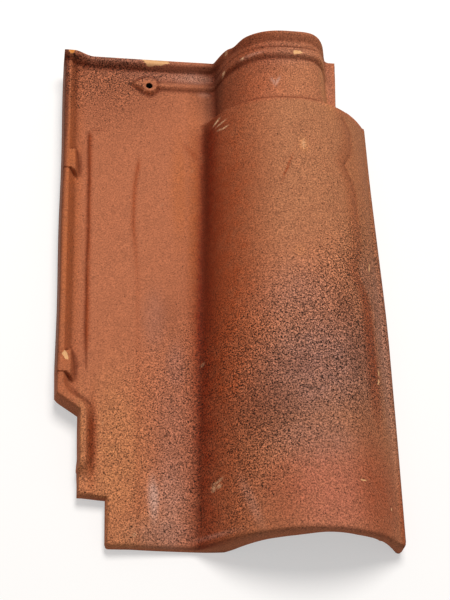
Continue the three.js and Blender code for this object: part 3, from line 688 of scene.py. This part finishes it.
def hole_loops(edge, height_at, lip):
    """Loops of points from an open square in to the nail hole, each mixed from square to circle."""
    nail, square = np.array((NAIL_X, NAIL_Y)), points_at(edge)[:, :2]
    arm = square - nail
    circle = nail + arm / np.hypot(*arm.T)[:, None] * NAIL_RADIUS
    loops = [edge]
    for share in RING_SHARES:
        flat = mix(square, circle, share)
        away = np.hypot(*(flat - nail).T) - NAIL_RADIUS
        height = height_at(*flat.T) - lip * round_over(away, 0.9)
        loops.append(add_points(np.column_stack([flat, height])))
    return loops


top_edge, under_edge = top_index[hole_walk(top_marks)], under_index[hole_walk(under_marks)]
top_loops = hole_loops(top_edge, lambda x, y: top_height(x, y, y), 1)
under_loops = hole_loops(under_edge, under_height, 0)
quads += map(strip, top_loops[1:], top_loops)
quads += map(strip, under_loops, under_loops[1:])
pentagons.append(two_to_one(top_loops[-1], under_loops[-1])[:, ::-1])
print("nail hole:", top_edge.size, "points round it above and", under_edge.size, "below")

# %% [markdown]
# ## Laying the tile down
# Unheld on a level floor the tile stands on three places: the pan and the roll's foot at the tail,
# and one nib. The turn that lays their plane level is the shortest turn from its normal to straight
# up. Its own box then centres it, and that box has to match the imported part's.

# %% Turn and shift into the shared frame
nib_corner = (NIB_X[1] + NIB_HALF - NIB_DRAFT, NIB_Y[0])
nib_dish = DISH * (1 - NIB_Y[0] / LENGTH)
REST_POINTS = np.array([
    (112.0, 1.0, -BODY - DISH),
    (270.0, 1.0, FOOT_UNDER_TAIL),
    (*nib_corner, -BODY - NIB_DEPTH - nib_dish),
])
floor_normal = np.cross(REST_POINTS[1] - REST_POINTS[0], REST_POINTS[2] - REST_POINTS[0])
floor_normal /= np.linalg.norm(floor_normal)


def shortest_turn(start):
    """Matrix that turns the unit vector start straight up: I + K + K^2 / (1 + start_z), where K is
    the cross product with the axis of the turn."""
    axis = np.cross(start, (0, 0, 1))
    turn = np.cross(np.eye(3), axis)
    return np.eye(3) + turn + turn @ turn / (1 + start[2])


LAY = shortest_turn(floor_normal)
tile_points = np.concatenate(points)
turned = tile_points @ LAY.T
lowest, highest = turned.min(axis=0), turned.max(axis=0)
middle = (lowest + highest) / 2
lay_shift = -np.array([*middle[:2], lowest[2]])


def laid(points_mm):
    """Tile points in mm to the shared frame in metres."""
    return (np.asarray(points_mm) @ LAY.T + lay_shift) / 1000


placed = laid(tile_points)
print("shift:", np.round(lay_shift, 3))
print("visual box, mm:", np.round(placed.min(0) * 1000, 2), np.round(placed.max(0) * 1000, 2))
print("packed box, mm:", np.round(cad_low, 2), np.round(cad_high, 2))

# %% Make the mesh
def add_object(name, data):
    """Puts a mesh, camera or lamp into the scene."""
    item = bpy.data.objects.new(name, data)
    bpy.context.scene.collection.objects.link(item)
    return item


# points that no face uses are dropped, and the rest renumbered
all_quads, all_pentagons = np.concatenate(quads), np.concatenate(pentagons)
used = np.union1d(all_quads, all_pentagons)
faces = [face for kind in (all_quads, all_pentagons) for face in np.searchsorted(used, kind).tolist()]
mesh = bpy.data.meshes.new("clay_tile_body")
mesh.from_pydata(placed[used].tolist(), [], faces)
mesh.shade_smooth()
mesh.set_sharp_from_angle(angle=math.radians(55))
tile = add_object("clay_tile_body", mesh)
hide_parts("roof_tile")
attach(tile, "root")
print("tile mesh:", len(mesh.vertices), "points,", len(mesh.polygons), "faces")

# %% [markdown]
# ## What the spray, the fire and the yard did, with painted light and shade
# The colour of a fired clay tile is not even. A slip was sprayed on and burnt to brown-black specks,
# thickest in a few clouds. The crown fired to tan, and smoke stained the head. The valley and the
# roll's left flank get painted shade in deep red and brown, and more painted shade lies in creases,
# on steep walls, beside the boss and along the edges. Grains of lime left cream spots, and handling
# left pale dust; paler marks also paint highlights on some crests and edges, and a sheen beside the
# skirt. Each of these has its own soft mask: a number for every point, made from distances in the
# plan and kept on the mesh for the material to read.

# %% Soft spots and lines
tile_x, tile_y, tile_z = tile_points[used].T
grid_y = tile_y + SHOULDER_DRAFT * np.maximum(tile_z, 0) * hat(tile_y, SHOULDER, 26)
on_top = used < top_index.size
print(f"{on_top.sum()} of {used.size} points are on the upper face")


def clouds(*table):
    """The strongest of several soft spots, each strength * exp(-(a^2 + b^2)^1.4), with a and b from
    the ellipse of its row: x, y, half length, half width, strength and any turn in degrees."""
    total = np.zeros_like(tile_x)
    for cx, cy, half_long, half_wide, strength, *turn in table:
        a, b = turned_ellipse(tile_x, tile_y, cx, cy, half_long, half_wide, *turn)
        total = np.maximum(total, strength * np.exp(-(a**2 + b**2) ** 1.4))
    return total


def along_tile(stops, values):
    """A number along the tile, in straight lines between its values at the stops."""
    return np.interp(tile_y, stops, values)


def streak(stops_y, stops_x, half):
    """A soft line up the tile through the stops, of this half width."""
    return swell(tile_x, along_tile(stops_y, stops_x), half)


def hollow_depth(reach):
    """How far each point lies below the mean of four points around it, in mm."""
    around = ((0, 0), (reach, 0), (-reach, 0), (0, reach), (0, -reach))
    here, *near = (top_height(tile_x + dx, grid_y + dy, grid_y + dy) for dx, dy in around)
    return sum(near) / 4 - here


# %% [markdown]
# The spray crossed the tile at a slant: the specks lie in one wide band from the tail of the pan up
# to the skirt, with a second patch at the head's left corner. Between them the sand is coarser on
# the roll and the collar, which the upper die pressed less. Hollows and the steep walls of the ribs
# get painted shade, darker where less light reaches them.

# %% Specks
band_top = np.interp(
    tile_x, (0, 40, 75, 110, 150, 200, 250, 275), (95, 130, 168, 190, 184, 220, 284, 305)
)
band_foot = np.interp(tile_x, (110, 130, 150, 200, 250), (-90, -30, 27, 68, 94))
band = ease(38, -46, tile_y - band_top) * ease(-40, 35, tile_y - band_foot)
density = np.interp(
    tile_x, (0, 60, 108, 117, 126, 138, 190, 230, 252, 275),
    (0.4, 0.5, 0.64, 0.5, 0.42, 0.7, 0.84, 1.0, 0.95, 0.65),
)
band *= density - clouds((205, 95, 34, 30, 0.22, 25))
spray = np.maximum(band, clouds(
    (40, 435, 55, 36, 0.85, 20), (95, 439, 50, 6, 0.7), (12, 430, 16, 40, 0.8),
    (38, 394, 34, 26, 0.32), (225, 310, 50, 60, 0.15), (165, 425, 36, 24, 0.15),
    (200, 50, 120, 50, 0.2),
)) * ease(0.5, 4, tile_y)
print(f"specks: mean density {spray[on_top].mean():.2f}")

# %% Sand and creases
on_collar = ease(384, 392, tile_y) * ease(128, 140, tile_x)
# painted shade in creases: how deep each point lies below its neighbours, lessened in some places
hollow = sum(hollow_depth(reach) * gain for reach, gain in ((1.5, 2.2), (3, 0.5), (4.5, 0.25)))
hollow *= (1 - ease(226, 234, tile_x) * ease(386, 390, grid_y)) * ease(264, 258, tile_x)
collar_head = on_collar * ease(432, 436, tile_y)
hollow *= mix(0.45, 1, ease(15, 18, tile_x)) * mix(1, 0.6, collar_head)
hollow *= 1 - clouds((12, 326, 6, 7, 0.85), (12, 134, 6, 7, 0.85))
hollow *= mix(1, 0.5, ease(36, 32, tile_x) * ease(118, 110, tile_y))
end_rib_foot = ease(40, 90, tile_x) * ease(128, 122, tile_x) * ease(438, 442, tile_y)
hollow *= mix(1, 0.35, end_rib_foot)
# painted shade on walls: the steeper the upper face, the darker, on the pan and its ribs
steepness = np.hypot(
    top_height(tile_x + 0.5, tile_y, grid_y) - top_height(tile_x - 0.5, tile_y, grid_y),
    top_height(tile_x, tile_y + 0.5, grid_y + 0.5) - top_height(tile_x, tile_y - 0.5, grid_y - 0.5),
)
steep = np.clip((steepness - 0.4) / 1.2, 0, 1) * (1 - ease(128, 140, tile_x))
from_valley = tile_x - along_tile(
    (0, 100, 200, 260, 300, 370, 386, 396, 452),
    (116, 118, 120.5, 123.5, 126.3, 130, 132, 139, 140),
)
on_roll = ease(0, 30, from_valley)
coarse = 1.45 + 0.75 * on_roll + 0.5 * on_collar + 3.8 * spray
coarse += clouds((145, 160, 30, 90, 1.2, -15), (145, 355, 22, 36, 0.7))
print(f"sand: contrast {coarse[on_top].min():.1f} to {coarse[on_top].max():.1f}")

# %% [markdown]
# Most tones lie in soft spots, which the table lists. The rest follow the shape: `from_valley` is the
# distance to the right of the line where the pan meets the roll, and `off_skirt` the same from the
# skirt's crease.

# %% Spots of each tone
SPOTS = {
    # x, y, half length, half width, strength, turn in degrees
    "crown": ((205, 410, 36, 40, 0.6),),
    # the spot at x 231, y 410 is painted light on the collar's right end
    "ochre_and_light": (
        (45, 70, 26, 70, 0.7), (60, 10, 30, 22, 0.6), (231, 410, 6, 34, 1.0), (203, 333, 3.4, 7, 1.2),
        (193, 231, 5, 5, 0.6), (21, 80, 5, 50, 0.7), (7, 450, 4, 4, 1.0), (142.6, 429.6, 1.6, 2.4, 1),
        (156.2, 430.6, 1.3, 1.6, 1), (144.6, 448.2, 1.3, 2, 1),
    ),
    "iron_and_shade": (
        (246, 35, 20, 50, 0.6), (30, 84, 4, 34, 0.9), (114, 357, 11, 2.5, 0.6, -52),
        (273, 10, 6, 45, 0.8), (165, 25, 22, 36, 0.4), (187.6, 310, 14, 0.8, 1.2, 68),
    ),
    # the valley's deep red is painted shade
    "valley": (),  # lies along the valley line alone
    "amber": (
        (103, 318, 8, 56, 0.4), (118, 270, 9, 120, 0.6), (8, 290, 9, 170, 0.5), (250, 300, 14, 70, 0.2),
    ),
    # the spots beside the nail boss, at the foot of the collar's left side, under the collar's rib and
    # along the right edge are painted shade; the rest are smoke stains
    "smoke_and_shade": (
        (45, 430, 50, 60, 0.35), (30, 446, 60, 12, 0.35), (68.5, 422, 8.5, 1.9, 0.55, -35),
        (62, 428, 2.2, 3.5, 0.5), (128, 425, 14, 30, 0.45), (145, 425, 16, 50, 0.45),
        (150, 447, 26, 9, 0.6), (182, 437, 38, 3, 0.3), (131, 437, 7, 6, 0.95),
        (135, 420, 10, 42, 0.95), (200, 446, 60, 9, 0.2), (172, 420, 20, 12, 0.25),
        (273, 180, 4, 220, 0.4), (164, 98, 28, 24, 0.42), (240, 95, 16, 26, 0.2),
        (242, 150, 14, 30, 0.32), (230, 182, 12, 16, 0.3), (93, 192, 10, 26, 0.2),
        (183, 130, 20, 12, 0.28), (30, 370, 30, 40, 0.12),
    ),
    "pink": ((210, 30, 55, 40, 0.9), (172, 405, 16, 24, 0.15), (200, 185, 60, 60, 0.3)),
    "mauve_and_sheen": (
        (200, 128, 60, 44, 0.7, 35), (195, 76, 40, 24, 0.45), (190, 185, 34, 30, 0.35),
        (95, 80, 16, 75, 0.3), (80, 190, 10, 28, 0.3), (97, 148, 9, 24, 0.4), (95, 440, 50, 10, 0.4),
        (180, 432, 40, 14, 0.3), (85, 10, 26, 14, 0.5), (40, 449, 60, 5, 0.5), (240, 425, 5, 28, 0.25),
    ),
    # the lines on the collar rib's crest, along the skirt's right edge and on the tail edge are painted
    # highlights; the rest is dust
    "dust_and_highlight": (
        (78, 38, 4.4, 17, 0.75, 2), (90, 34, 12, 30, 0.2), (147, 26, 3.5, 20, 0.18, 18),
        (181.5, 401, 1.3, 5, 0.5, 25), (185, 402, 1.2, 5, 0.5, -25), (124, 5.5, 16, 1.4, 0.25),
        (118, 438, 14, 6, 0.25), (127, 421, 5, 3, 0.15), (164, 431, 9, 1.6, 0.25, 5),
        (268, 150, 5, 90, 0.18),
    ),
    "lime": (
        (114.5, 338.5, 0.9, 0.9, 0.8), (87, 302, 0.8, 0.8, 0.8), (63, 9, 1, 1, 0.8),
        (38.3, 98, 0.9, 0.9, 1), (118, 150, 1, 1, 0.6), (203, 334, 1.6, 4.5, 0.35),
        (134.9, 378.2, 2.7, 0.9, 1, 41), (137.9, 373.4, 3.6, 0.7, 0.7, 10),
        (136.8, 367.6, 2.2, 0.6, 0.6, -33), (140.5, 366.4, 2.4, 0.7, 0.9), (143, 391, 1.2, 1.2, 0.5),
        (124.4, 46.8, 1.8, 1.0, 0.5), (127.2, 48, 2.3, 1.0, 0.5, 40), (126.6, 43.4, 1.5, 1.5, 0.6),
        (122.9, 43.6, 0.8, 2.4, 0.45, -10), (122.6, 41.2, 1, 1, 0.5), (142.6, 429.6, 0.8, 1.6, 0.8),
        (156.2, 430.6, 0.9, 1, 0.8), (144.6, 448.2, 0.8, 1.2, 0.7),
    ),
}
tones = {name: clouds(*table) for name, table in SPOTS.items()}
print("spots in each tone:", {name: len(table) for name, table in SPOTS.items()})

# %% Tones that follow the shape
off_skirt = tile_x - skirt_line(tile_y)
skirt_part = clouds((245, 160, 60, 75, 1.0), (245, 280, 60, 120, 0.4))
valley_half = np.where(
    from_valley < 0, mix(10.5, 10, ease(180, 260, tile_y)), mix(9.5, 6.5, ease(280, 360, tile_y))
)
towards_head = ease(240, 400, tile_y)
# painted shade: a darker strip along the left edge towards the head, as the side face turns from the
# light
left_edge_shade = ease(mix(4.4, 6.5, towards_head), mix(1.8, 3.4, towards_head), tile_x)
left_edge_shade *= along_tile((280, 350, 410), (0.6, 0.8, 1.0)) * ease(120, 150, tile_y)
# painted shade on the roll's left flank, which faces away from the light
flank = ease(66, 10, from_valley) * ease(-11, 3, from_valley)
flank *= along_tile((30, 200, 260, 300, 360), (0.6, 1, 0.88, 0.92, 0.75))
pressed_line = 0.85 * streak((225, 240, 260, 280, 300, 320, 345), (66, 65.5, 64, 62.5, 63, 64, 67.5), 1.9)
pressed_line *= along_tile((150, 230, 280, 340, 352), (0.2, 0.3, 1, 1, 0))
# painted shade at the foot of the field's raised left edge
field_step_shade = 0.9 * streak((150, 450), (24.4, 24.4), 2.3)
field_step_shade *= ease(150, 175, tile_y) * ease(374, 368, tile_y)
# painted shade along the skirt's crease
crease = 0.8 * ease(-14, -3, off_skirt) * ease(6, 0, off_skirt) * skirt_part
# painted sheen: a paler grey-violet strip just right of the skirt's crease
skirt_sheen = 0.3 * ease(0, 8, off_skirt) * ease(60, 160, tile_y) * ease(270, 210, tile_y)
tones["crown"] = on_roll * ease(386, 380, grid_y) * 0.9 + tones["crown"]
# rust spots, plus painted shade on the flank, at the field's step and along the skirt's crease
tones["iron_and_shade"] = np.maximum.reduce(
    [tones["iron_and_shade"], flank, 0.12 * ease(26, 12, tile_x), pressed_line, field_step_shade, crease]
)
# painted shade: a deep red along the valley where the pan meets the roll
tones["valley"] = np.exp(-np.abs(from_valley / valley_half) ** 1.5) * ease(392, 372, tile_y)
tones["valley"] *= along_tile((20, 200, 240), (0.65, 1, 0.92))
tones["smoke_and_shade"] = np.maximum(tones["smoke_and_shade"], left_edge_shade)
tones["mauve_and_sheen"] = np.maximum(tones["mauve_and_sheen"], skirt_sheen)
print("strongest tones:", {name: round(float(values.max()), 2) for name, values in tones.items()})

# %% Keep the masks on the mesh
upper_masks = {
    "spray": spray,
    "coarse": coarse,
    # the next two are painted shade, in creases and on steep walls
    "hollow": 0.6 * np.clip(hollow, 0, 1),
    "steep": (0.15 + clouds((70, 421, 20, 14, 0.55))) * steep,
    # near-black at the boss's left tip and in a slit at the raised corner: painted shade
    "shade_and_soil": clouds((9.0, 446.8, 2.4, 0.7, 1, -42), (59.6, 428.5, 2.2, 1.3, 0.7)),
    "bare": chip_field(tile_x, tile_y)[0],
    **{name: np.clip(values, 0, 1) for name, values in tones.items()},
}
side_face = ease(3, 2, tile_x) * ease(140, 150, tile_y)
lower_masks = {
    "coarse": 1.5,
    "bare": NO_CHIP,
    # the left side face is darker brown towards the bottom and paler grey-violet above
    "smoke_and_shade": 0.75 * side_face * ease(-2, -7, tile_z),
    "mauve_and_sheen": 0.8 * side_face * ease(-7, -1, tile_z),
    "dust_and_highlight": 0.2 * side_face * ease(-7, -1, tile_z),
}
masks = {
    name: np.where(on_top, values, lower_masks.get(name, 0)) for name, values in upper_masks.items()
}
# painted shade: near-black inside the nail hole
in_nail_hole = ease(3.4, 2.8, np.hypot(tile_x - NAIL_X, tile_y - NAIL_Y))
masks["shade_and_soil"] = np.maximum(masks["shade_and_soil"], in_nail_hole)
for name, values in masks.items():
    attribute = mesh.attributes.new(name, "FLOAT", "POINT")
    attribute.data.foreach_set("value", values.astype(np.float32))
print(f"{len(masks)} masks on {used.size} points")

# %% [markdown]
# ## Fired clay
# The material is terracotta: a red earthenware clay, pressed, sprayed with slip and fired at about
# 1000 degrees. It is matte and sandy and scatters light, so roughness is high and the highlight weak.
# Every pattern is sized in millimetres on the tile.

# %% Colours and nodes
def linear(code):
    """sRGB hex to the linear numbers that a shader works in."""
    parts = np.array([int(code[i : i + 2], 16) for i in (1, 3, 5)]) / 255
    parts = np.where(parts <= 0.04045, parts / 12.92, ((parts + 0.055) / 1.055) ** 2.4)
    return (*parts.tolist(), 1.0)


def fill(node, inputs):
    """Fills inputs of a node with values, or with links where the value is a node's output."""
    for name, value in inputs.items():
        if isinstance(value, bpy.types.NodeSocket):
            node.id_data.links.new(value, node.inputs[name])
        else:
            node.inputs[name].default_value = value
    return node


def add_node(tree, kind, inputs=None, **settings):
    """Adds one shader node, sets its options and fills its inputs."""
    node = tree.nodes.new("ShaderNode" + kind)
    for name, value in settings.items():
        setattr(node, name, value)
    return fill(node, inputs or {})


def calculate(operation, a, b=0.0, c=0.0, clamp=False):
    """One step of arithmetic on a, which is an output of a node, and on b and c."""
    inputs = {0: a, 1: b, 2: c}
    return add_node(a.id_data, "Math", inputs, operation=operation, use_clamp=clamp).outputs[0]


def new_material(name):
    """A material and its main shader."""
    made = bpy.data.materials.new(name)
    made.use_nodes = True
    return made, made.node_tree.nodes["Principled BSDF"]


# %% Terracotta, pressed, sprayed with slip and fired
clay, shader = new_material("terracotta_pressed_slip_sprayed")
tree = clay.node_tree
place_on_tile = add_node(tree, "TexCoord").outputs["Object"]


def noise(size, **settings):
    """Noise from 0 to 1 with cells this many mm wide, on a tile that is measured in metres."""
    inputs = {"Vector": place_on_tile, "Scale": 1000.0 / size, **settings}
    return add_node(tree, "TexNoise", inputs).outputs["Fac"]


def tint(under, amount, over):
    """Lays one colour over another by an amount from 0 to 1."""
    inputs = {0: amount, 6: under, 7: over}
    return add_node(tree, "Mix", inputs, data_type="RGBA").outputs[2]


masks_read = {
    name: add_node(tree, "Attribute", attribute_name=name).outputs["Fac"] for name in masks
}
broad = noise(42, Detail=3.0)
middle = noise(9, Detail=3.0, Roughness=0.6)
ragged = calculate("MULTIPLY_ADD", middle, 1.0, 0.55)

tone = tint(linear("#B06746"), broad, linear("#B56C4A"))
for name, colour in (
    # tan, warm yellow, rose and grey-violet, where the fire was cooler; the yellow also
    # paints light on the collar's right end, the grey-violet a sheen beside the skirt
    ("crown", "#AA6D4A"), ("ochre_and_light", "#BE7A4E"), ("pink", "#B2684E"), ("mauve_and_sheen", "#94685A"),
    # orange where it was hotter; rust and smoke brown, partly stains and partly painted shade on the
    # flank, steps and walls; and a deep red that is painted shade in the valley
    ("amber", "#B4622F"), ("iron_and_shade", "#974826"), ("smoke_and_shade", "#6E3A26"), ("valley", "#74240D"),
    # painted shade on steep walls and in creases, then grey-pink dust that also paints highlights,
    # cream lime, and black soil with painted shade in the nail hole and small slits
    ("steep", "#7A3614"), ("hollow", "#5E2410"), ("dust_and_highlight", "#C49A88"),
    ("lime", "#E3B78C"), ("shade_and_soil", "#1E0E09"),
):
    tone = tint(tone, calculate("MULTIPLY", masks_read[name], ragged, clamp=True), linear(colour))
print(f"{len(tree.nodes)} nodes carry the tones of the skin")

# %% [markdown]
# Each droplet of slip left a brown-black speck, with grains of sand catching the light between them.
# Real specks are 0.2 to 0.8 mm across, and are drawn at about 1 mm, so that they don't vanish between
# the pixels. Where the spray is denser, a higher threshold on the same noise lets more and wider
# specks through.

# %% Specks and sand
def specks(size, fewest, most):
    """Spots where a noise lies under a threshold that rises with the density of the spray."""
    threshold = calculate("MULTIPLY_ADD", masks_read["spray"], most - fewest, fewest)
    spots = noise(size, Detail=0.0)
    return calculate("MULTIPLY", calculate("SUBTRACT", threshold, spots), 10.0, clamp=True)


FINE, WIDE, SAND, GRAIN = 1.1, 1.9, 1.22, 1.4  # mm, all unlike, so that their noises differ
fine = calculate("MULTIPLY", specks(FINE, 0.25, 0.47), 0.8)
dark = calculate("MAXIMUM", fine, specks(WIDE, 0.18, 0.335))
tone = tint(tone, calculate("MULTIPLY", dark, 0.9), linear("#28170F"))
grains = noise(GRAIN, Detail=0.0)
grains = calculate("MULTIPLY", calculate("SUBTRACT", grains, 0.75), 8.0, clamp=True)
sand = noise(SAND, Detail=1.0, Roughness=0.8)
shade = calculate("MULTIPLY_ADD", calculate("SUBTRACT", sand, 0.5), masks_read["coarse"], 1.0)
shade = calculate("MULTIPLY", shade, calculate("MULTIPLY_ADD", middle, 0.3, 0.85))
shade = calculate("MULTIPLY_ADD", grains, 0.4, shade)
tone = add_node(tree, "HueSaturation", {"Value": shade, "Color": tone}).outputs[0]
print(f"specks at {FINE} and {WIDE} mm, sand at {SAND} mm, pale grains at {GRAIN} mm")

# %% [markdown]
# A chip bares the orange clay under the skin, and its rim is ragged. The skin is rough at the scale
# of the sand, so a bump 0.2 mm high breaks up the light, too low to change the outline.

# %% Bare clay and surface
inside_chip = calculate("MULTIPLY_ADD", middle, 0.9, calculate("SUBTRACT", masks_read["bare"], 0.45))
inside_chip = calculate("MULTIPLY", inside_chip, 4.0, clamp=True)
bare = tint(tint(linear("#D9965A"), sand, linear("#E9BC8C")), masks_read["ochre_and_light"], linear("#D08038"))
tone = tint(tone, inside_chip, bare)
height = calculate("MULTIPLY_ADD", middle, 0.8, calculate("MULTIPLY", sand, 0.35))
height = calculate("MULTIPLY_ADD", dark, -0.3, height)
bump = add_node(tree, "Bump", {"Strength": 1.0, "Distance": 0.00022, "Height": height}).outputs[0]
fill(shader, {"Base Color": tone, "Roughness": 0.82, "Specular IOR Level": 0.15, "Normal": bump})
mesh.materials.append(clay)
print(f"{len(tree.nodes)} nodes in {clay.name}")

# %% [markdown]
# ## Camera
# The camera looks down on the tile from beyond its tail. A long lens from almost a metre away keeps
# the far end nearly as wide as the near one.

# %% Camera
camera_data = bpy.data.cameras.new("camera")
camera_data.lens = 73.394
camera = add_object("camera", camera_data)
camera.location = laid((-11.43, -253.49, 900.86))
camera.rotation_euler = np.radians((28.5687, -7.2554, -2.2251))
bpy.context.scene.camera = camera
print("camera at", [round(c, 3) for c in camera.location], "m with a lens of", camera_data.lens, "mm")

# %% [markdown]
# ## Floor
# The tile lies on a wide sheet of matte paper, which catches its soft shadow. A little glow is added
# where the paper is seen directly, so the ground looks white while no more light falls on the clay.

# %% Paper floor
FLOOR_REACH = 24.0
PAPER_GLOW = 0.46
floor_mesh = bpy.data.meshes.new("studio_floor")
square = [(-1, -1), (1, -1), (1, 1), (-1, 1)]
floor_mesh.from_pydata([(x * FLOOR_REACH, y * FLOOR_REACH, 0) for x, y in square], [], [(0, 1, 2, 3)])
floor = add_object("studio_floor", floor_mesh)
paper, paper_shader = new_material("matte_paper_sweep")  # pale and without any shine
rays = add_node(paper.node_tree, "LightPath").outputs
seen = calculate("MAXIMUM", rays["Is Camera Ray"], rays["Is Glossy Ray"])
seen = calculate("MAXIMUM", seen, rays["Is Transmission Ray"])
fill(paper_shader, {
    "Base Color": linear("#C8C4C0"), "Roughness": 1.0, "Specular IOR Level": 0.0,
    "Emission Color": linear("#FFFFFF"),
    "Emission Strength": calculate("MULTIPLY", seen, PAPER_GLOW),
})
floor_mesh.materials.append(paper)
floor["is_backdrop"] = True
print(f"floor: {2 * FLOOR_REACH:.0f} m square")

# %% [markdown]
# ## Light
# One large round softbox hangs high beyond the head. It lights the roll's crown and leaves the valley
# and the flank beside the pan darker, which shows the shape. A dim white world fills the shadows.

# %% Softbox and world
SOFTBOX_PLACE = np.array((0.08, 0.6, 1.9))  # in metres, in the frame of the part
WORLD_STRENGTH = 0.27
softbox_data = bpy.data.lights.new("softbox_overhead", "AREA")
softbox_data.shape, softbox_data.size, softbox_data.energy = "DISK", 0.9, 33
softbox = add_object("softbox_overhead", softbox_data)
softbox.location = SOFTBOX_PLACE
to_tile = -SOFTBOX_PLACE / np.linalg.norm(SOFTBOX_PLACE)
softbox.rotation_euler = (math.acos(-to_tile[2]), 0, math.atan2(-to_tile[0], to_tile[1]))
world = bpy.data.worlds.new("studio")
bpy.context.scene.world = world
world.use_nodes = True
fill(world.node_tree.nodes["Background"], {"Color": linear("#FFFFFF"), "Strength": WORLD_STRENGTH})
bpy.context.scene.view_settings.view_transform = "Standard"
print(f"softbox: {softbox_data.energy:.0f} W, world: {WORLD_STRENGTH}")

# %% [markdown]
# ## Both boxes
# The last step prints the sizes of the solid part's box and of this model's. The model should lie
# just inside, since its edges are rounded and its faces are chipped.

# %% Sizes, then finish
boxes = {"cad": cad_box, "visual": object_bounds()}
sizes = {name: [[float(c) for c in corner] for corner in box] for name, box in boxes.items()}
for name, (low, high) in sizes.items():
    print(name, "size in mm:", [round(1000 * (b - a), 2) for a, b in zip(low, high)])
